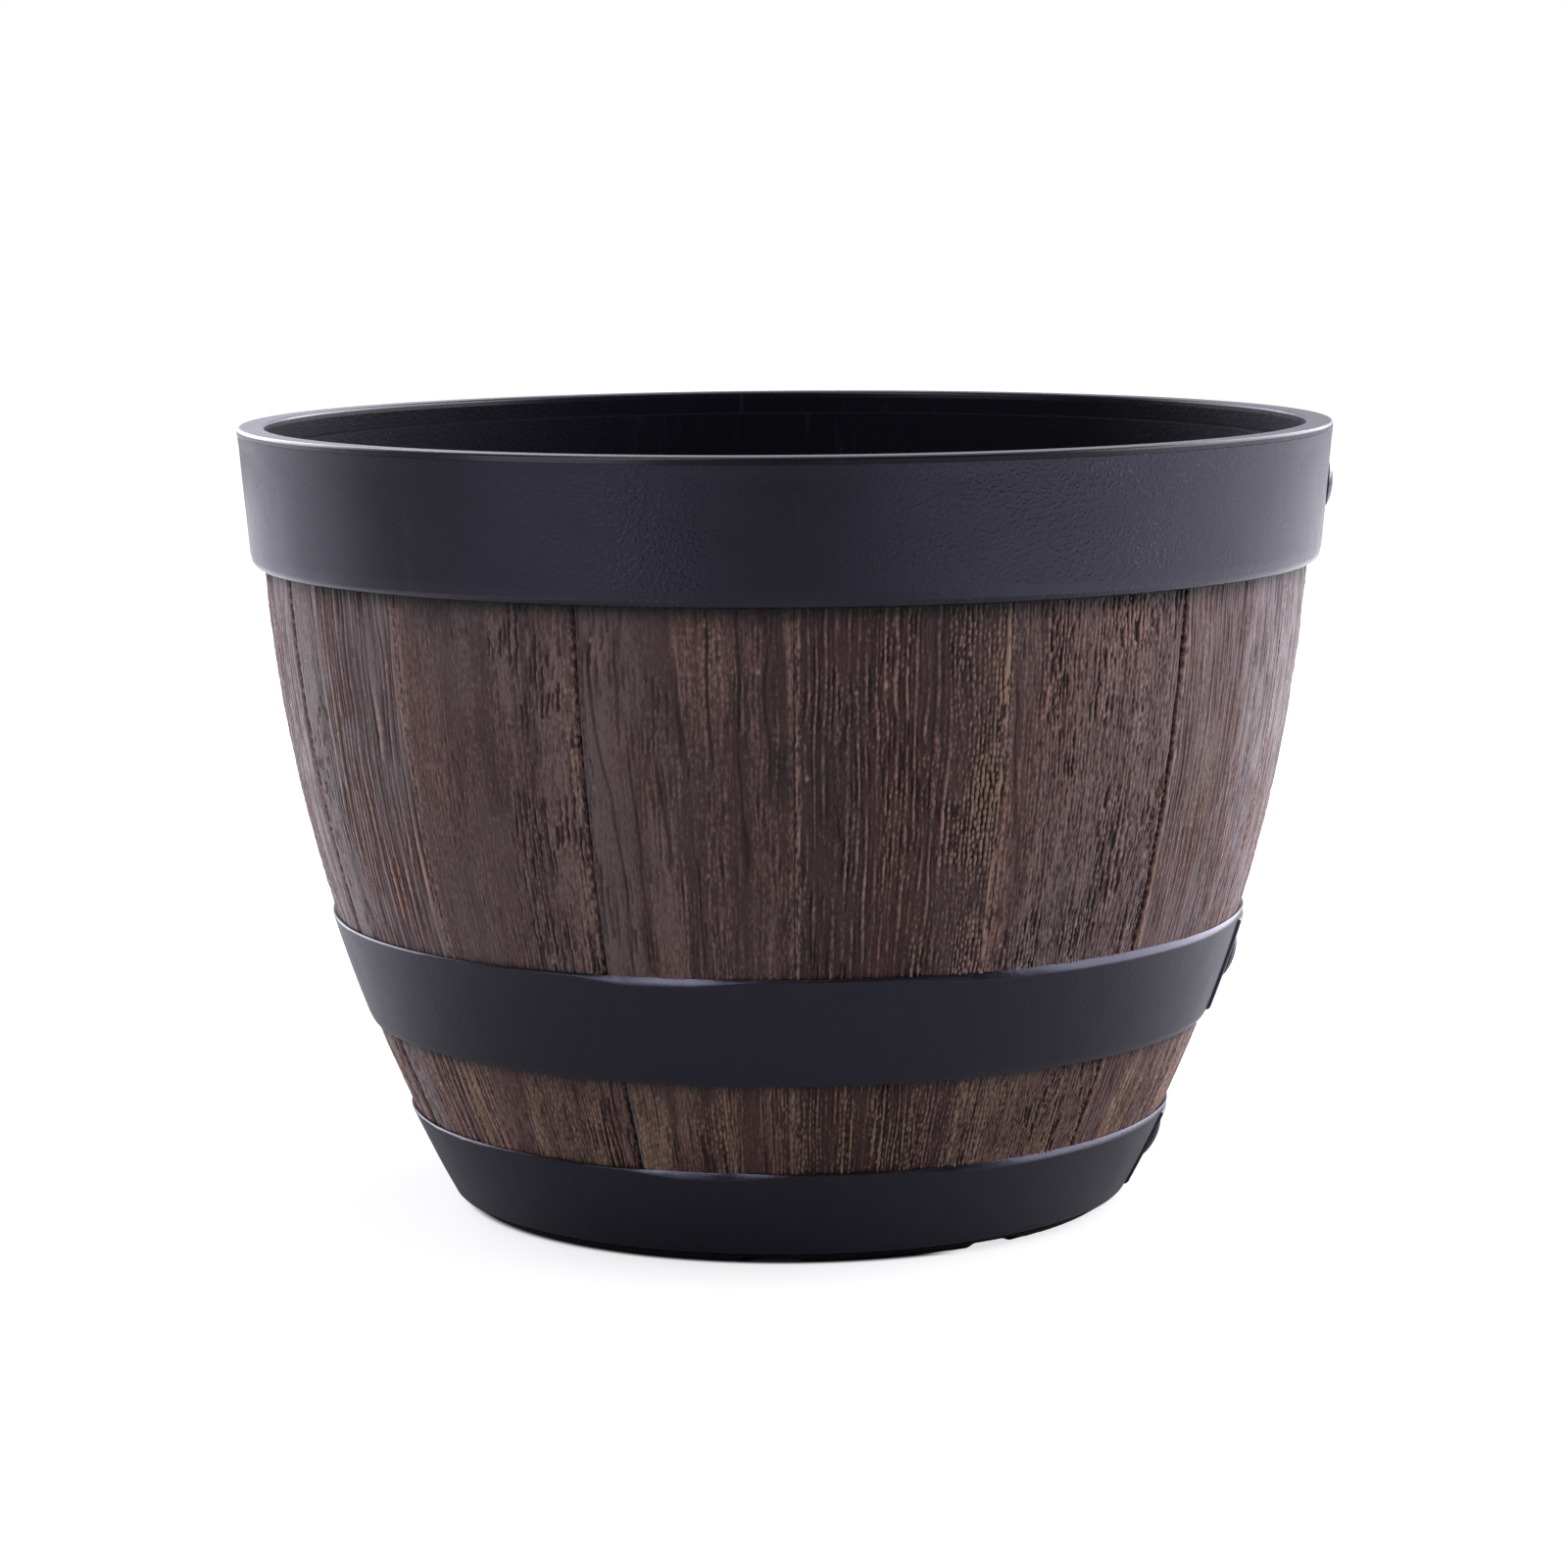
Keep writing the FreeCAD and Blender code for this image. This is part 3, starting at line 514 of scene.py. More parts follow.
    # Gold, which gathers low down, stains, and pale places, which on the staves at the sides are partly painted light.
    low = step_up(44, 34, along)
    warm = step_up(0.40, 0.75, noise(place, 4.2, 26, 31))
    gold = np.maximum(dabs(GOLDEN, number, across, along, width), 0.75 * low * warm)
    gold *= 0.35 + 0.9 * noise(place, 0.8, 7, 12)
    stain = dabs(STAINS, number, across, along, width) * (0.6 + 0.6 * noise(place, 0.7, 4, 29))
    pale_and_painted_light = dabs(PALE_PLACES_AND_PAINTED_LIGHT, number, across, along, width) * (0.5 + 0.8 * noise(place, 2.5, 12, 30))
    pale_and_painted_light = step_up(0.20, 0.62, pale_and_painted_light)

    # Long edges: rubbed in a ragged line, and shut to a dark joint where they are well rounded.
    on_right = share > 0.5
    inward = width * np.minimum(share, 1 - share)
    ragged = 0.8 + 0.9 * (noise(inward * 0 + on_right * 5.5, 1, 9, 22) - 0.5)
    rubbed = np.where(on_right, right_rub, left_rub) * bell(inward - ragged, 0.28)
    rubbed *= step_up(0.15, 0.75, noise(inward / 3 + on_right * 7.5, 1, 1.6, 23))
    rounded = np.where(on_right, right_round, left_round)
    shut = bell(inward, 0.35 + 0.45 * rounded) * np.clip(rounded - 0.45, 0.0, 1.0)
    rubbed *= (1 - 0.8 * np.clip(shut, 0.0, 1.0)) * (1 - stain)
    level = np.clip(level + 0.70 * rubbed - 0.75 * shut + 0.7 * gold * (bead - 0.2), 0.0, 1.0)

    # Blotches, painted shade under the bands' lower edges, and a few specks.
    blotch = noise(across, 9, 21, 13) * 0.6 + noise(across, 3, 9, 14) * 0.4
    # Painted shade: the boards are darkened in a band just below the rim band and the middle hoop.
    painted_shade_under_rim = 0.85 * bell(along - span("rim_band")[0] / MM, 2.6)
    painted_shade_under_hoop = 0.55 * bell(along - (span("middle_hoop")[0] + shape.hoop_rise) / MM, 1.6)
    speck = np.zeros_like(share)
    for spot_across, spot_along, spot_size in np.random.default_rng(seed + 16).random((5, 3)):
        size = 0.20 + 0.20 * spot_size
        spot = bell(across - (spot_across - 0.5) * width * 0.94, size, along - 20 - 115 * spot_along, 1.2 * size)
        speck = np.maximum(speck, spot)
    grey = look["grey"] * step_up(0.20, 0.70, blotch) * (1 - 0.7 * low)
    # The board's lightness, with its painted light, times the blotches and the painted shade under the bands.
    tone = light * (0.80 + 0.40 * blotch) * (1 - np.maximum(painted_shade_under_rim, painted_shade_under_hoop))
    # The pale places, partly painted light, also lighten the grey wash, the lightness and the specks.
    return {
        "grain": np.maximum(level, speck),
        "grey": np.maximum(grey, np.maximum(0.7 * stain, pale_and_painted_light)),
        "gold": np.clip(np.maximum(gold, rubbed), 0.0, 1.0),
        "tone": tone * (1 - 0.88 * stain) * (1 + 0.4 * pale_and_painted_light) * (1 - 0.2 * low),
        "red": noise(across, 12, 34, 15) * (1 - 0.8 * low),
        "speck": np.maximum(speck * 0.5, 0.30 * pale_and_painted_light * np.clip(1.5 * level - 0.1, 0.0, 1.0)),
    }, rounded


def board_heights():
    """Heights of a stave's rows: close together where the board shows and far apart behind the bands."""
    low, high = span("stave_01")
    covers = sorted(span(node) for node in ("bottom_hoop", "middle_hoop", "rim_band"))
    rows = [low]
    for (_, top), above in zip(covers, (*covers[1:], None)):
        rows.extend(np.linspace(rows[-1], min(top - COVER_MARGIN, high), 7)[1:])
        if above:
            reach = above[0] + 2 * COVER_MARGIN
            count = round((reach - rows[-1]) / ROW_HEIGHT)
            rows.extend(np.linspace(rows[-1], reach, count)[1:])
    return np.array(rows)


def build_board(number, shape):
    """One stave: a bowed plate whose outside is cut by the grain and rounded off at its long edges."""
    pitch = 2 * math.pi / len(STAVES)
    facing = shape.joint_angle + (number - 0.5) * pitch - math.pi / 2
    half = (pitch - shape.stave_gap / shape.belly_radius) / 2
    half_width = half * shape.belly_radius
    heights = board_heights()
    edge = 1.0 - np.array([0.0, 0.03, 0.10, 0.22, 0.40, 0.65]) * (shape.stave_edge * 2.5) / half_width
    middle = np.linspace(-edge[-1], edge[-1], STAVE_COLUMNS)[1:-1]
    across = np.concatenate([-edge, middle, edge[::-1]])
    share, height = np.broadcast_arrays((across[None, :] + 1) / 2, heights[:, None])
    fields, rounded = board_fields(number, share, height, shape)
    from_edge = (1 - np.abs(across))[None, :] * half * bowed(shape, heights[:, None], 0.0)
    ragged = 0.7 + 0.6 * drift(np.sign(share - 0.5) * 3 + 9, height / (4 * MM), shape.grain_seed + 7 * number)
    drop = edge_drop(from_edge, shape.stave_edge * ragged * rounded)
    outer = -shape.grain_depth * (1.0 - fields["grain"]) - drop
    points, faces = bowed_plate(shape, facing, half, heights, across, outer, -shape.stave_thickness)
    fields["edge"] = step_up(1.6 * MM, 0.2 * MM, from_edge)
    values = {label: with_back(field).ravel() for label, field in fields.items()}
    spread = with_back(share * half_width * 2)
    rise = np.broadcast_to(heights[:, None], spread.shape)
    layer = np.full(spread.shape, number * 0.37)
    values["board_place"] = np.stack([spread, rise, layer], axis=-1).reshape(-1, 3)
    node = f"stave_{number:02d}"
    return mesh_from(f"board_{number:02d}", points, faces, "planter", [node], values, sharp=70.0)


# Shader nodes


class Graph:
    """Shader nodes of one tree. An operand is a socket, which is linked, or a constant, which is set."""

    def __init__(self, tree):
        self.tree = tree

    def feed(self, socket, operand):
        """Link or constant into a socket."""
        if isinstance(operand, bpy.types.NodeSocket):
            self.tree.links.new(operand, socket)
        else:
            socket.default_value = operand

    def add(self, kind, inputs=None, **settings):
        """New node with its settings and the operands of its inputs."""
        node = self.tree.nodes.new(kind)
        for key, setting in settings.items():
            setattr(node, key, setting)
        for key, operand in (inputs or {}).items():
            self.feed(node.inputs[key], operand)
        return node

    def group(self, tree, inputs):
        """Node group with the operands of its inputs."""
        return self.add("ShaderNodeGroup", inputs, node_tree=tree)

    def maths(self, operation, *operands, clamp=False):
        """Result of one operation, kept from 0 to 1 where asked."""
        return self.add("ShaderNodeMath", dict(enumerate(operands)), operation=operation, use_clamp=clamp).outputs[0]

    def times(self, *factors):
        """Product of the operands."""
        return reduce(lambda product, factor: self.maths("MULTIPLY", product, factor), factors)

    def plus(self, *terms):
        """Sum of the operands."""
        return reduce(lambda total, term: self.maths("ADD", total, term), terms)

    def swing(self, source, reach):
        """Source from 0 to 1 turned into a swing about 0, half the reach to either side."""
        return self.times(self.maths("SUBTRACT", source, 0.5), reach)

    def blend(self, factor, first, second, kind="MIX"):
        """Colour mix of two operands."""
        return self.add("ShaderNodeMix", {0: factor, 6: first, 7: second}, data_type="RGBA", blend_type=kind).outputs[2]

    def remap(self, source, low, high, to_low=0.0, to_high=1.0):
        """Source from low..high to to_low..to_high, eased at both ends."""
        inputs = {"Value": source, "From Min": low, "From Max": high, "To Min": to_low, "To Max": to_high}
        return self.add("ShaderNodeMapRange", inputs, interpolation_type="SMOOTHSTEP").outputs["Result"]

    def noise(self, place, scale, detail=2.0, roughness=0.5, stretch=None):
        """Noise over a place, whose axes can be stretched."""
        if stretch:
            place = self.add("ShaderNodeMapping", {"Vector": place, "Scale": stretch}).outputs["Vector"]
        inputs = {"Vector": place, "Scale": scale, "Detail": detail, "Roughness": roughness}
        return self.add("ShaderNodeTexNoise", inputs).outputs["Fac"]

    def place(self):
        """Object coordinates."""
        return self.add("ShaderNodeTexCoord").outputs["Object"]

    def split(self, vector):
        """X, Y and Z of a vector."""
        return self.add("ShaderNodeSeparateXYZ", {0: vector}).outputs

    def field(self, label, kind="Fac"):
        """A mesh's own values."""
        return self.add("ShaderNodeAttribute", attribute_name=label).outputs[kind]


def new_group(name, inputs, outputs):
    """Empty shader node group: its graph, the sockets that come in, given as names with defaults, and those that go
    out."""
    tree = bpy.data.node_groups.new(name, "ShaderNodeTree")
    for label, default in inputs.items():
        tree.interface.new_socket(label, in_out="INPUT", socket_type="NodeSocketFloat").default_value = default
    for label in outputs:
        kind = "NodeSocketColor" if label == "Color" else "NodeSocketFloat"
        tree.interface.new_socket(label, in_out="OUTPUT", socket_type=kind)
    graph = Graph(tree)
    return graph, graph.add("NodeGroupInput").outputs, graph.add("NodeGroupOutput").inputs


def skin_group():
    """Moulded skin: orange peel in patches, a slow wave and rubbed streaks, as height, roughness and a rub mask."""
    name = "moulded_skin"
    if name in bpy.data.node_groups:
        return bpy.data.node_groups[name]
    inputs = {"Peel": 1.0, "Patch": 1.0, "Gloss": 0.40, "Streak": 0.5}
    graph, given, out = new_group(name, inputs, ("Height", "Roughness", "Rub"))
    place = graph.place()
    pebble = graph.remap(graph.noise(place, 1400.0, 1.0, 0.4), 0.42, 0.72)
    peel = graph.times(pebble, given["Patch"], given["Peel"])
    fine = graph.times(graph.noise(place, 1900.0), 0.16)
    wave = graph.times(graph.noise(place, 120.0), 0.4)
    graph.feed(out["Height"], graph.plus(peel, fine, wave))
    streak = graph.noise(place, 260.0, 3.0, 0.6, (1.0, 1.0, 0.10))
    smear = graph.noise(place, 34.0, 4.0, 0.6)
    sweep = graph.times(graph.swing(streak, 0.14), given["Streak"])
    rough = graph.plus(given["Gloss"], graph.plus(graph.swing(smear, 0.22), sweep))
    graph.feed(out["Roughness"], graph.maths("MINIMUM", graph.maths("MAXIMUM", rough, 0.18), 0.75))
    rub = graph.times(graph.remap(streak, 0.56, 0.80), graph.remap(smear, 0.45, 0.70), given["Streak"])
    graph.feed(out["Rub"], rub)
    return graph.tree


def dust_group():
    """Settled dust: a mask that grows on faces that look up and breaks into clouds and grains."""
    name = "settled_dust"
    if name in bpy.data.node_groups:
        return bpy.data.node_groups[name]
    graph, given, out = new_group(name, {"Amount": 0.2}, ("Mask",))
    place = graph.place()
    normal = graph.split(graph.add("ShaderNodeNewGeometry").outputs["Normal"])
    upward = graph.remap(normal["Z"], 0.15, 0.95)
    cloud = graph.remap(graph.noise(place, 55.0, 4.0, 0.6), 0.35, 0.75)
    grain = graph.remap(graph.noise(place, 1400.0), 0.40, 0.70)
    mask = graph.times(upward, graph.times(cloud, grain))
    graph.feed(out["Mask"], graph.maths("MULTIPLY", mask, given["Amount"], clamp=True))
    return graph.tree


def grain_group(finish):
    """Moulded wood grain: colour from the board's own fields, with fibre, wash, gold and specks, and a fine height."""
    inputs = {"Fibre": 1.0, "Gloss": 0.5}
    graph, given, out = new_group("moulded_grain", inputs, ("Color", "Roughness", "Height"))
    labels = ("grain", "grey", "gold", "tone", "red", "speck", "edge")
    field = {label: graph.field(label) for label in labels}
    place = graph.field("board_place", "Vector")
    fibre = graph.noise(place, 2600.0, 3.0, 0.6, (1.0, 0.05, 1.0))
    fleck = graph.noise(place, 1900.0, 2.0, 0.5, (1.0, 0.40, 1.0))
    stir = graph.plus(graph.times(graph.swing(fibre, 0.30), given["Fibre"]), graph.swing(fleck, 0.50))
    level = graph.maths("ADD", field["grain"], stir, clamp=True)
    ramp = graph.add("ShaderNodeValToRGB", {"Fac": level})
    stops = ramp.color_ramp.elements
    stops[0].position = 0.05
    stops[0].color = finish.groove_brown
    stops[1].color = finish.ridge_brown
    stops.new(0.50).color = finish.board_brown
    warm = graph.blend(field["red"], (1.12, 0.93, 0.88, 1.0), (0.92, 1.02, 1.06, 1.0))
    colour = graph.blend(1.0, ramp.outputs["Color"], warm, "MULTIPLY")
    wash = graph.times(field["grey"], graph.remap(level, 0.15, 0.85, 0.15, 0.85))
    colour = graph.blend(wash, colour, finish.grey_wash)
    rubbed = graph.maths("MULTIPLY", field["gold"], graph.remap(level, 0.25, 0.85), clamp=True)
    colour = graph.blend(rubbed, colour, finish.gold_rub)
    worn = graph.times(field["edge"], graph.remap(fleck, 0.42, 0.66, 0.0, 0.55))
    colour = graph.blend(worn, colour, finish.ridge_brown)
    # Multiplies the colour by the board's lightness, which holds painted light and shade as well as stains and pale
    # places.
    tone = graph.add("ShaderNodeCombineColor", dict.fromkeys(range(3), field["tone"])).outputs[0]
    colour = graph.blend(1.0, colour, tone, "MULTIPLY")
    graph.feed(out["Color"], graph.blend(field["speck"], colour, finish.speck_grey))
    dull = graph.times(graph.maths("SUBTRACT", 1.0, level), 0.22)
    graph.feed(out["Roughness"], graph.maths("ADD", given["Gloss"], dull, clamp=True))
    graph.feed(out["Height"], graph.plus(fibre, graph.times(fleck, 0.6)))
    return graph.tree


# Materials


def new_material(name, colour, constants):
    """Node material, its graph, and the inputs of its Principled shader with their constants."""
    material = bpy.data.materials.new(name)
    material.use_nodes = True
    material.diffuse_color = colour
    graph = Graph(material.node_tree)
    shader = next(node for node in graph.tree.nodes if node.type == "BSDF_PRINCIPLED").inputs
    for key, constant in {"Base Color": colour, **constants}.items():
        graph.feed(shader[key], constant)
    return material, graph, shader


def finish_shader(graph, shader, finish, colour, roughness, height, dust, depth, strength):
    """Dust over the colour, and then colour, roughness and bump into the shader."""
    settled = graph.group(dust_group(), {"Amount": dust}).outputs["Mask"]
    bump = graph.add("ShaderNodeBump", {"Height": height, "Distance": depth, "Strength": strength})
    graph.feed(shader["Base Color"], graph.blend(settled, colour, finish.dust_grey))
    graph.feed(shader["Roughness"], roughness)
    graph.feed(shader["Normal"], bump.outputs["Normal"])


def resin_material(name, finish, black, peel, gloss, streak, dust, lip=None):
    """Satin black moulded resin with peel, rubbed streaks and dust, and rubbed edges by the mesh's own values.

    Where the height of a lip is given, the lip is polished instead, and the rest throws back less.
    """
    material, graph, shader = new_material(name, black, {"Specular Tint": finish.resin_sheen})
    skin = graph.group(skin_group(), {"Peel": peel, "Gloss": gloss, "Streak": streak})
    roughness, height = skin.outputs["Roughness"], skin.outputs["Height"]
    colour = graph.blend(skin.outputs["Rub"], black, finish.resin_rub)
    if lip:
        spot = graph.split(graph.place())
        polish = graph.remap(spot["Z"], lip - 1.50 * MM, lip - 1.38 * MM)
        graph.feed(shader["Coat Weight"], graph.times(polish, graph.remap(spot["X"], -0.08, 0.0, 1.0, 0.6)))
        graph.feed(shader["Coat Roughness"], 0.26)
        graph.feed(shader["Specular IOR Level"], 0.08)
    else:
        worn = graph.field("edge")
        roughness = graph.times(roughness, graph.remap(worn, 0.2, 0.8, 1.0, 0.64))
        worn = graph.times(worn, graph.remap(height, 0.25, 0.70, 0.10, 0.70))
        colour = graph.blend(worn, colour, finish.resin_rub)
        graph.feed(skin.inputs["Patch"], graph.field("peel"))
    finish_shader(graph, shader, finish, colour, roughness, height, dust, depth=0.00020, strength=0.60)
    return material


def stave_material(finish):
    """Brown resin with a moulded and washed wood grain."""
    constants = {
        "Specular IOR Level": 0.30,
        "Specular Tint": (1.0, 0.95, 0.94, 1.0),
        "Sheen Weight": 1.0,
        "Sheen Roughness": 0.27,
        "Sheen Tint": (1.0, 0.99, 1.0, 1.0),
    }
    material, graph, shader = new_material("stave_grain", finish.board_brown, constants)
    grain = graph.group(grain_group(finish), {"Fibre": 1.0, "Gloss": 0.38}).outputs
    finish_shader(
        graph, shader, finish, grain["Color"], grain["Roughness"], grain["Height"],
        dust=0.05, depth=0.00016, strength=0.70)
    return material


def rubber_material(finish):
    """Matte black rubber with a fine skin and a little dust."""
    material, graph, shader = new_material("plug_rubber_skin", finish.rubber_black, {"Specular IOR Level": 0.35})
    skin = graph.group(skin_group(), {"Peel": 0.4, "Gloss": 0.62, "Streak": 0.2}).outputs
    finish_shader(
        graph, shader, finish, finish.rubber_black, skin["Roughness"], skin["Height"],
        dust=0.5, depth=0.00010, strength=0.4)
    return material


def paint(piece, material):
    """Gives every material slot of a piece, or a first one, the material."""
    if not piece.data.materials:
        piece.data.materials.append(material)
    for slot in piece.material_slots:
        slot.material = material


# Pieces and stage


def build_band(shape):
    """Section of a quarter round, a straight face, a small chamfer and the bowed inside; the face ripples a little."""
    foot, top = span("rim_band")
    top = top + shape.rim_overlap
    low, high = rim_face(shape)
    seed = SEEDS["rim_band"]
    corner = shape.rim_rounding
    chamfer = 0.03 * MM
    turn = np.linspace(0.0, np.pi / 2, 9)
    rise = np.linspace(foot + corner, top - chamfer, 30)[1:]
    back_z = np.linspace(top, foot, 8)
    hidden = np.zeros(len(back_z) + 1)
    loop_r = np.concatenate([
        low - corner + corner * np.sin(turn), low + (high - low) * (rise - foot) / (top - foot), [high - chamfer],
        bowed(shape, back_z, shape.shell_clearance)])
    loop_z = np.concatenate([foot + corner - corner * np.cos(turn), rise, [top], back_z])[:, None]
    outside = np.concatenate([np.ones(len(turn)), step_up(top, top - 3 * MM, rise), hidden])[:, None]
    around = np.arange(RIM_COLUMNS) / RIM_COLUMNS
    ripple = 0.10 * MM * drift(around[None, :] * 60, loop_z / (9 * MM), seed, wrap=60)
    points, faces = turned_ring(loop_r[:, None] - outside * ripple, loop_z)
    front = from_front(around)
    patches = bell(front + 13, 5) + 0.8 * bell(front - 31, 19)
    patches += step_up(0.45, 0.75, drift(around * 18, 0 * around, seed + 10, wrap=18)) * step_up(60, 90, np.abs(front))
    cloud = 0.5 + 0.8 * drift(around[None, :] * 50, loop_z / (8 * MM), seed + 11, wrap=50)
    edge = np.concatenate([np.sin(turn * 2) ** 0.5, 0 * rise, hidden])
    values = {
        "edge": np.repeat(edge, RIM_COLUMNS),
        "peel": np.clip((0.18 + patches[None, :]) * cloud, 0.0, 1.2).ravel(),
    }
    return mesh_from("rim_band_skin", points, faces, "planter", ["rim_band"], values)


def build_hoop(shape, node, foot_bevel, rise):
    """Hoop section: an inner line behind the staves' face and an outer one that rises from the land over rounded
    bevels, of which the upper one swells and fades along the hoop."""
    seed = SEEDS[node]
    cad_foot, top = span(node)
    foot = cad_foot + rise
    around = np.arange(HOOP_COLUMNS) / HOOP_COLUMNS
    count = len(STAVES)
    by_stave = around * count - shape.joint_angle / (2 * np.pi) * count
    wander = shape.hoop_wander * drift(by_stave, 0 * around, seed, wrap=count)
    share = [np.linspace(0, 0.12, 14), np.linspace(0.12, 0.88, 22)[1:], np.linspace(0.88, 1, 18)[1:]]
    share = np.concatenate(share)[:, None]
    height = foot + (top - foot - wander) * share
    below = np.clip((height - foot) / foot_bevel, 0.0, 1.0)
    tall = np.interp(from_front(around), *SHOULDERS[node])
    above = np.clip((top - wander - height) / (shape.hoop_bevel * tall), 0.0, 1.0)
    swell = 1 - (1 - below) ** 1.8
    drop = (1 - above) ** 1.15 * (shape.hoop_thickness + shape.shell_clearance + 0.30 * MM) * tall**0.75
    outer = shape.shell_clearance + shape.hoop_land + (shape.hoop_thickness - shape.hoop_land) * swell - drop
    outer = outer - 0.07 * MM * drift(around[None, :] * 70, share * 3, seed + 1, wrap=70) * swell
    back_height = foot + (top - foot - wander) * np.linspace(1.0, 0.0, 6)[:, None]
    heights = np.concatenate([height, back_height])
    offsets = np.concatenate([outer, np.full(back_height.shape, -0.60 * MM)])
    points, faces = turned_ring(bowed(shape, heights, offsets), heights)
    worn = np.concatenate([(1 - np.minimum(below, above)) ** 0.7 * tall**0.5, np.zeros(back_height.shape)])
    lap_low = cad_foot + foot_bevel + shape.lap_inset
    lap_high = top - shape.hoop_bevel - shape.lap_inset
    lap_points, lap_faces, lap_worn = build_lap(shape, lap_low, lap_high, len(points))
    edge = np.concatenate([worn.ravel(), lap_worn])
    values = {"edge": edge, "peel": 0.5 - 0.45 * np.clip(edge, 0.0, 1.0)}
    points = np.concatenate([points, lap_points])
    return mesh_from(f"{node}_skin", points, faces + lap_faces, "planter", [node], values)


def build_lap(shape, low, high, start):
    """Overlapping end: a bowed plate on the hoop's face, with its four edges rounded off."""
    half = shape.lap_angle / 2
    border, band = 0.06, 0.8 * MM
    inset, lift = np.linspace(0, border, 8), np.linspace(0, band, 8)
    across = [inset - 1, np.linspace(border - 1, 1 - border, 40)[1:-1], 1 - inset[::-1]]
    heights = [low + lift, np.linspace(low + band, high - band, 20)[1:-1], high - lift[::-1]]
    across, heights = np.concatenate(across), np.concatenate(heights)
    hoop_face = shape.shell_clearance + shape.hoop_thickness
    face = hoop_face + shape.lap_thickness
    sideways = (1 - np.abs(across))[None, :] * half * bowed(shape, (low + high) / 2, face)
    upright = np.minimum(heights - low, high - heights)[:, None]
    drop = edge_drop(sideways, shape.lap_rounding) + edge_drop(upright, shape.lap_rounding)
    outer = np.maximum(face - drop, hoop_face - shape.hoop_thickness / 2)
    inner = shape.shell_clearance + shape.hoop_thickness / 3
    points, faces = bowed_plate(shape, 0.0, half, heights, across, outer, inner, start)
    worn = step_up(1.2 * MM, 0.2 * MM, np.minimum(sideways, upright))
    return points, faces, with_back(worn).ravel()


def build_rivets(shape, node, radius, height, lean):
    """Two heads: a dome h = H (1 - (r/R)^2)^0.75 with a rolled edge, turned about the seat's own normal, and a
    short shank."""
    shank, sunk = 1.7 * MM, -1.5 * MM
    reach = np.sin(np.linspace(0.0, np.pi / 2, 16))[::-1]
    dome = shape.rivet_height * (0.10 + 0.90 * np.clip(1 - reach**2, 0.0, 1.0) ** 0.75)
    profile = [(0.0, sunk), (shank, sunk), (shank, 0.0), (shape.rivet_radius * 0.985, 0.0)]
    profile += list(zip(shape.rivet_radius * reach, dome))
    points, faces, edges = [], [], []
    for side in (-1, 1):
        head, head_faces = turned_solid(profile, 48, sum(len(part) for part in points))
        swing = Matrix.Rotation(side * shape.rivet_angle, 3, "Z")
        aim = np.array(swing @ Matrix.Rotation(math.pi / 2 + lean, 3, "Y"))
        seat = np.array(swing @ Vector((radius, 0.0, 0.0))) + np.array([0.0, 0.0, height])
        edges.append(step_up(0.6, 1.0, np.hypot(head[:, 0], head[:, 1]) / shape.rivet_radius))
        points.append(head @ aim.T + seat)
        faces += head_faces
    edges = np.concatenate(edges)
    values = {"edge": edges, "peel": 0 * edges + 0.5}
    return mesh_from(f"{node}_rivet_heads", np.concatenate(points), faces, "planter",
                     [f"{node}_rivets"], values, sharp=35.0)


def build_plug(number):
    """Plug turned about its own axis: tapered stem, flange with rolled edges, waisted knob with a rounded top."""
    node = f"drain_plug_{number}"
    low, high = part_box(node)
    flange = (high.x - low.x) / 2
    shoulder = low.z + 4.6 * MM
    ledge = shoulder + 1.6 * MM
    stem, knob = flange - 3.3 * MM, 2.6 * MM
    roll, waist, crown = 0.45 * MM, 0.6 * MM, 0.9 * MM
    groove = ledge - 0.25 * MM
    turn = np.linspace(0.0, np.pi / 2, 7)
    sine, cosine = np.sin(turn), np.cos(turn)
    profile = [(0.0, low.z), (stem - 0.7 * MM, low.z), (stem - 0.15 * MM, low.z + 0.4 * MM)]
    profile += [(stem, low.z + 1.0 * MM), (stem, shoulder - 0.5 * MM), (stem, shoulder - 0.02 * MM)]
    profile += [(stem + 0.3 * MM, shoulder)]
    profile += list(zip(flange - roll + roll * sine, shoulder + roll - roll * cosine))
    profile += list(zip(flange - roll + roll * cosine, ledge - roll + roll * sine))
    profile += [(5.2 * MM, ledge), (5.0 * MM, groove), (4.6 * MM, groove), (4.4 * MM, ledge)]
    profile += list(zip(knob + 0.35 * MM - waist * sine, ledge + waist - waist * cosine))
    profile += [(knob - 0.25 * MM, ledge + 1.0 * MM), (knob, ledge + 1.5 * MM)]
    profile += list(zip(knob - crown + crown * cosine, high.z - crown + crown * sine))
    profile += [(0.0, high.z)]
    points, faces = turned_solid(profile, 64)
    centre = np.array([(low.x + high.x) / 2, (low.y + high.y) / 2, 0.0])
    return mesh_from(f"{node}_skin", points + centre, faces, node, [node])


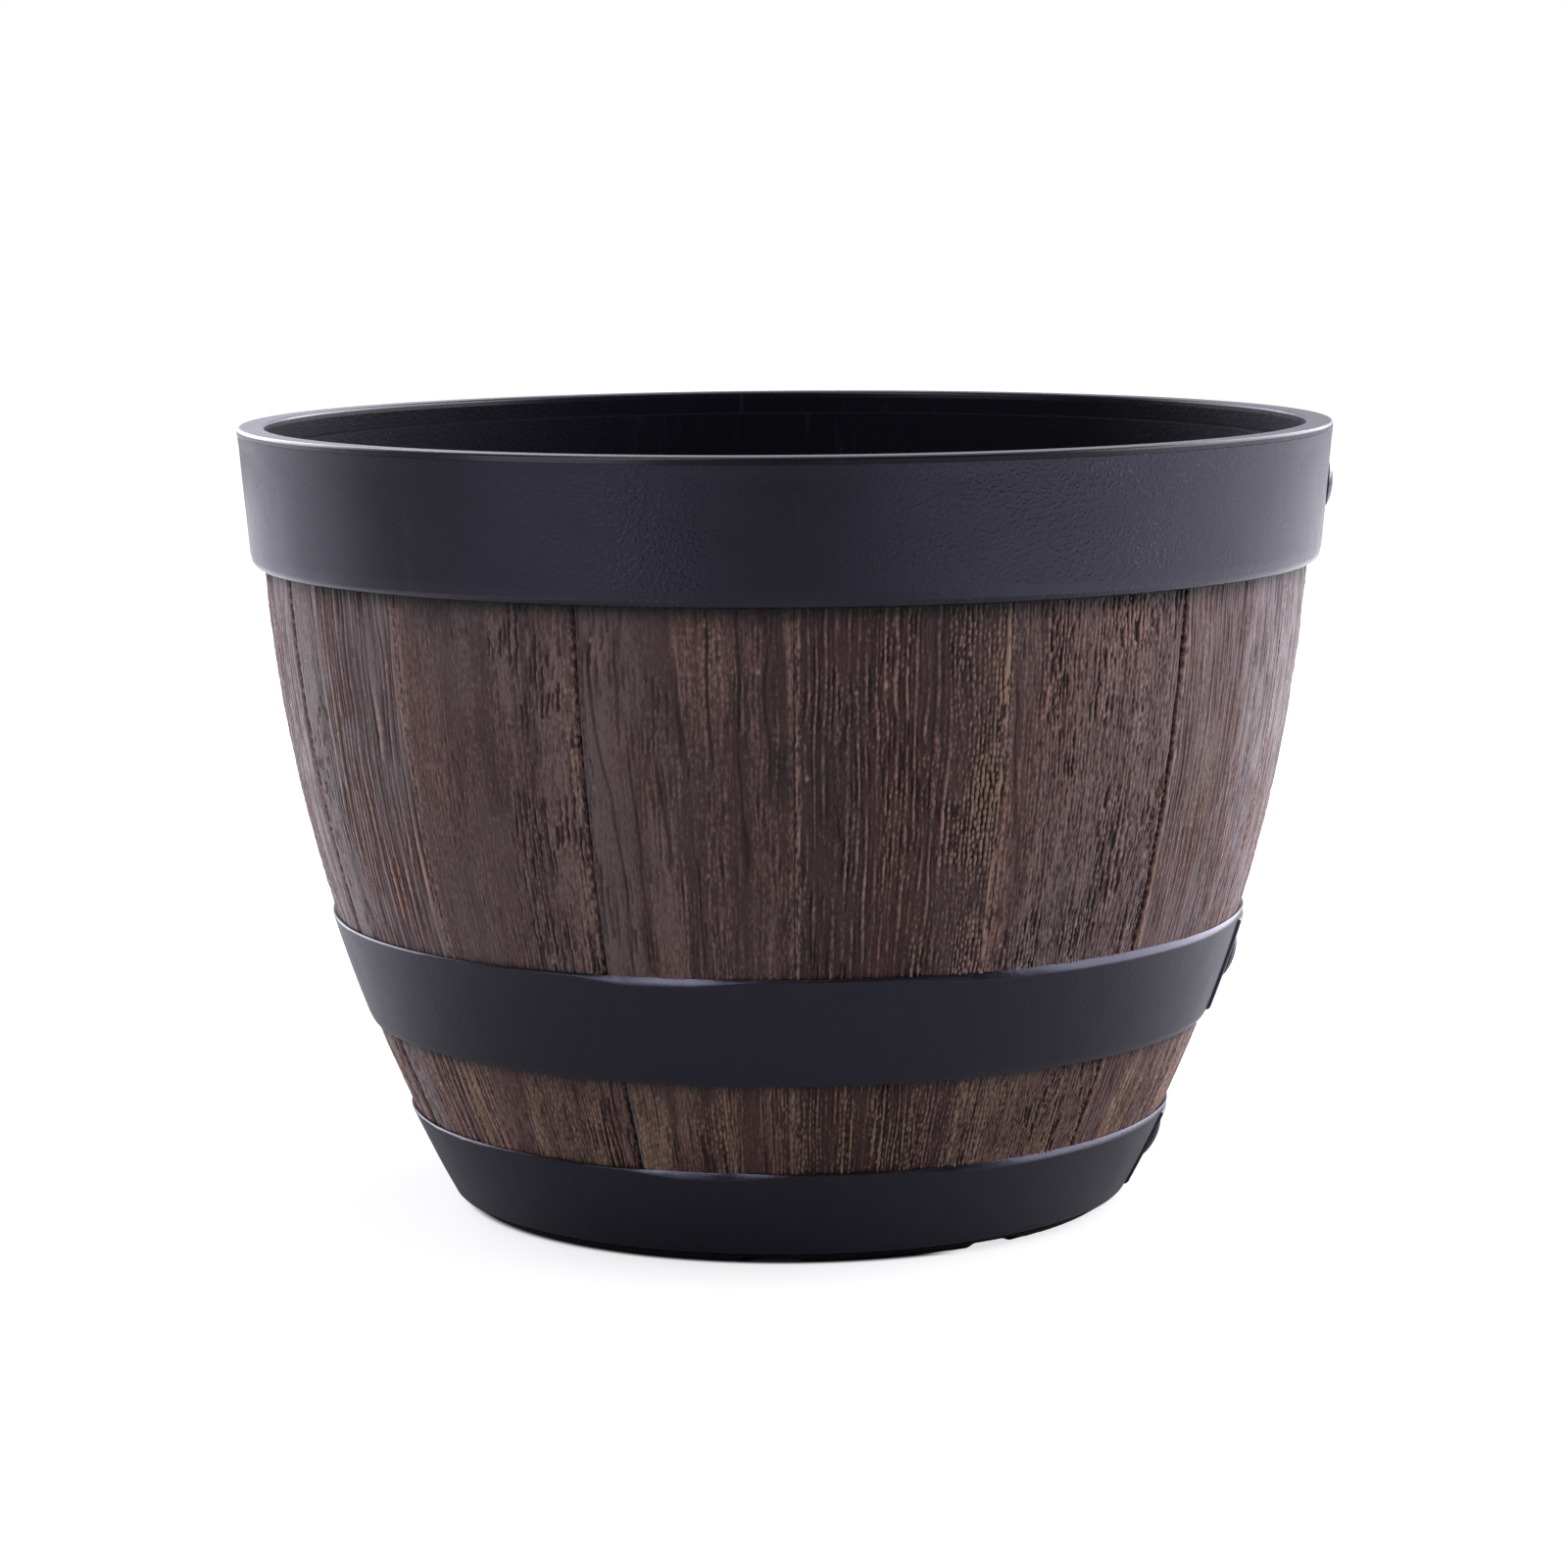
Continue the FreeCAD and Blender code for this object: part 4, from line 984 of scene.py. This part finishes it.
def build_floor(studio):
    """Square floor at z = 0, as a grid of its two directions.

    It glows white to the camera, less near the planter so that its shadow shows. The glow is cut under the foot, a
    painted shadow, but kept under the foot's right side, a painted patch of the right lamp's light. In reflections it
    glows beside the planter, less at the far left: a painted reflection of a lit floor.
    """
    side = np.linspace(-4.0, 4.0, 3)
    x, y = np.meshgrid(side, side)
    points = np.stack([x, y, np.zeros_like(x)], axis=-1).reshape(-1, 3)
    corner = np.array([0, 1, 3, 4])[:, None]
    mesh = bpy.data.meshes.new("studio_floor")
    mesh.from_pydata(points.tolist(), [], (corner + np.array([0, 1, 4, 3])).tolist())
    floor = put("studio_floor", mesh)
    constants = {"Specular IOR Level": 0.0, "Roughness": 0.9}
    material, graph, shader = new_material("floor_paper", studio.floor_grey, constants)
    path = graph.add("ShaderNodeLightPath").outputs
    graph.feed(shader["Emission Color"], graph.blend(path["Is Camera Ray"], studio.floor_glow, WHITE))
    place = graph.place()
    spot = graph.split(place)
    away = graph.add("ShaderNodeVectorMath", {0: place}, operation="LENGTH").outputs["Value"]
    # Painted shadow: no glow under the foot, except under its right side, where a painted patch of light stands in for
    # the right lamp reaching in through the notch.
    under = graph.times(graph.remap(spot["X"], 0.025, 0.035), graph.remap(away, 0.048, 0.054))
    glow_outside_painted_shadow = graph.maths("MAXIMUM", graph.remap(away, 0.0676, 0.0702), under)
    paper = graph.times(graph.remap(away, 0.10, 0.42, 0.72, 1.0), glow_outside_painted_shadow)
    far_left = graph.remap(spot["X"], -0.36, -0.22, 0.9, 0.0)
    far_left = graph.times(far_left, graph.remap(spot["Y"], 0.0, 0.16, 1.0, 0.0))
    # Painted reflection: glow that only reflections see, beside the planter, stronger to the right and weaker at the
    # far left.
    beside = graph.times(
        graph.remap(graph.maths("ABSOLUTE", spot["X"]), 0.08, 0.30, 0.0, 0.72),
        graph.remap(away, 0.45, 1.0, 1.0, 0.55),
        graph.maths("SUBTRACT", 1.0, far_left),
        graph.remap(spot["X"], 0.14, 0.36, 1.0, 1.4))
    seen = graph.maths("MAXIMUM", path["Is Camera Ray"], graph.times(path["Is Glossy Ray"], beside))
    graph.feed(shader["Emission Strength"], graph.times(seen, paper))
    mesh.materials.append(material)


def build_world(scene, studio):
    """White to the camera; in reflections white behind and beside the planter and dim in front; a low even light."""
    world = bpy.data.worlds.new("studio_world")
    scene.world = world
    world.use_nodes = True
    graph = Graph(world.node_tree)
    background = next(node for node in graph.tree.nodes if node.type == "BACKGROUND").inputs
    path = graph.add("ShaderNodeLightPath").outputs
    toward = graph.split(graph.add("ShaderNodeTexCoord").outputs["Generated"])
    behind = graph.remap(toward["Y"], 0.10, 0.75, 0.03, 0.95)
    glossy = graph.maths("MAXIMUM", path["Is Glossy Ray"], path["Is Transmission Ray"])
    even = graph.times(graph.maths("SUBTRACT", 1.0, glossy), 0.20)
    level = graph.plus(graph.times(behind, glossy), even)
    graph.feed(background["Strength"], graph.maths("MAXIMUM", level, path["Is Camera Ray"]))
    graph.feed(background["Color"], graph.blend(path["Is Camera Ray"], studio.world_tint, WHITE))


def build_lamp(name, place, aim, size, watts, tint):
    """Rectangular area lamp that looks at a point."""
    data = bpy.data.lights.new(name, "AREA")
    data.shape = "RECTANGLE"
    data.size, data.size_y = size
    data.energy = watts
    data.color = tint[:3]
    lamp = put(name, data)
    lamp.visible_camera = False
    lamp.location = place
    lamp.rotation_mode = "QUATERNION"
    lamp.rotation_quaternion = (Vector(aim) - Vector(place)).to_track_quat("-Z", "Y")


def build_camera(scene, studio):
    """Camera at the photograph's place: looks along +Y, tilted down and rolled."""
    data = bpy.data.cameras.new("photo_camera")
    data.sensor_fit = "HORIZONTAL"
    data.lens = studio.focal_pixels / PHOTO_PIXELS * data.sensor_width
    camera = put("photo_camera", data)
    tilt, roll = studio.camera_tilt, studio.camera_roll
    forward = Vector((0.0, math.cos(tilt), -math.sin(tilt)))
    level_up = Vector((0.0, math.sin(tilt), math.cos(tilt)))
    level_right = Vector((1.0, 0.0, 0.0))
    right = math.cos(roll) * level_right - math.sin(roll) * level_up
    up = math.sin(roll) * level_right + math.cos(roll) * level_up
    turn = Matrix((right, up, -forward)).transposed().to_4x4()
    camera.matrix_world = Matrix.Translation(studio.camera_place) @ turn
    scene.camera = camera


# Operators


class PLANTER_OT_pot(bpy.types.Operator):
    """Give the CAD pot its satin black resin"""

    bl_idname = "planter.pot"
    bl_label = "Inner pot"

    def execute(self, context):
        finish = context.scene.planter_finish
        resin = resin_material(
            "pot_resin_skin", finish, finish.pot_black, peel=0.3, gloss=0.56, streak=0.9, dust=0.04, lip=CAD_BOX[1].z)
        paint(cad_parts["inner_pot"], resin)
        return {"FINISHED"}


class PLANTER_OT_staves(bpy.types.Operator):
    """Build the staves with their moulded grain"""

    bl_idname = "planter.staves"
    bl_label = "Staves"

    def execute(self, context):
        material = stave_material(context.scene.planter_finish)
        for number in range(1, len(STAVES) + 1):
            paint(build_board(number, context.scene.planter_shape), material)
        return {"FINISHED"}


class PLANTER_OT_rim_band(bpy.types.Operator):
    """Build the rim band: a tapered ring with a rounded lower edge"""

    bl_idname = "planter.rim_band"
    bl_label = "Rim band"

    def execute(self, context):
        finish = context.scene.planter_finish
        resin = resin_material(
            "band_resin_skin", finish, finish.resin_black, peel=0.38, gloss=0.27, streak=0.5, dust=0.06)
        paint(build_band(context.scene.planter_shape), resin)
        return {"FINISHED"}


class PLANTER_OT_hoops(bpy.types.Operator):
    """Build the middle and bottom hoops with their overlapping ends"""

    bl_idname = "planter.hoops"
    bl_label = "Hoops"

    def execute(self, context):
        shape, finish = context.scene.planter_shape, context.scene.planter_finish
        material = resin_material(
            "hoop_resin_skin", finish, finish.resin_black, peel=0.25, gloss=0.33, streak=0.4, dust=0.06)
        paint(build_hoop(shape, "middle_hoop", shape.hoop_bevel, shape.hoop_rise), material)
        paint(build_hoop(shape, "bottom_hoop", shape.hoop_land, rise=0.0), material)
        return {"FINISHED"}


class PLANTER_OT_rivets(bpy.types.Operator):
    """Build the domed rivet heads on the rim band and the hoops"""

    bl_idname = "planter.rivets"
    bl_label = "Rivets"

    def execute(self, context):
        shape, finish = context.scene.planter_shape, context.scene.planter_finish
        material = resin_material(
            "rivet_resin_skin", finish, finish.resin_black, peel=0.3, gloss=0.40, streak=0.3, dust=0.08)
        foot, top = span("rim_band")
        low, high = rim_face(shape)
        slope = (high - low) / (top - foot)
        rim_seat = (high - slope * shape.rim_rivet_drop, top - shape.rim_rivet_drop, math.atan(slope))
        paint(build_rivets(shape, "rim_band", *rim_seat), material)
        lap_face = shape.shell_clearance + shape.hoop_thickness + shape.lap_thickness
        for node in ("middle_hoop", "bottom_hoop"):
            height = sum(span(node)) / 2
            lean = math.asin((shape.belly_height - height) / shape.stave_arc)
            paint(build_rivets(shape, node, bowed(shape, height, lap_face), height, lean), material)
        return {"FINISHED"}


class PLANTER_OT_plugs(bpy.types.Operator):
    """Build the rubber drain plugs"""

    bl_idname = "planter.plugs"
    bl_label = "Drain plugs"

    def execute(self, context):
        material = rubber_material(context.scene.planter_finish)
        for number in (1, 2, 3):
            paint(build_plug(number), material)
        return {"FINISHED"}


class PLANTER_OT_stage(bpy.types.Operator):
    """Set up the floor, the studio light and the camera"""

    bl_idname = "planter.stage"
    bl_label = "Studio stage"

    def execute(self, context):
        studio = context.scene.planter_studio
        context.scene.view_settings.view_transform = "Standard"
        build_floor(studio)
        build_world(context.scene, studio)
        for name, (place, aim, size) in LAMPS.items():
            build_lamp(f"{name}_box", place, aim, size, getattr(studio, f"{name}_power"), studio.lamp_tint)
        build_camera(context.scene, studio)
        return {"FINISHED"}


PIECES = (PLANTER_OT_pot, PLANTER_OT_staves, PLANTER_OT_rim_band, PLANTER_OT_hoops, PLANTER_OT_rivets, PLANTER_OT_plugs)


class PLANTER_PT_sidebar(bpy.types.Panel):
    """Sizes, colours and builders of the planter"""

    bl_idname = "PLANTER_PT_sidebar"
    bl_label = "Whiskey barrel planter"
    bl_space_type = "VIEW_3D"
    bl_region_type = "UI"
    bl_category = "Planter"

    def draw(self, context):
        for group in (context.scene.planter_shape, context.scene.planter_finish, context.scene.planter_studio):
            box = self.layout.box()
            for name in group.bl_rna.properties.keys():
                if name not in ("rna_type", "name"):
                    box.prop(group, name)
        for operator in (*PIECES, PLANTER_OT_stage):
            self.layout.operator(operator.bl_idname)


CLASSES = (PlanterShape, PlanterFinish, PlanterStudio, *PIECES, PLANTER_OT_stage, PLANTER_PT_sidebar)


def register():
    for item in CLASSES:
        bpy.utils.register_class(item)
    bpy.types.Scene.planter_shape = PointerProperty(type=PlanterShape)
    bpy.types.Scene.planter_finish = PointerProperty(type=PlanterFinish)
    bpy.types.Scene.planter_studio = PointerProperty(type=PlanterStudio)


def unregister():
    del bpy.types.Scene.planter_shape, bpy.types.Scene.planter_finish, bpy.types.Scene.planter_studio
    for item in reversed(CLASSES):
        bpy.utils.unregister_class(item)


def main():
    register()
    bpy.ops.planter.pot()
    bpy.ops.planter.staves()
    bpy.ops.planter.rim_band()
    bpy.ops.planter.hoops()
    bpy.ops.planter.rivets()
    bpy.ops.planter.plugs()
    bpy.ops.planter.stage()


if __name__ == "__main__":
    main()
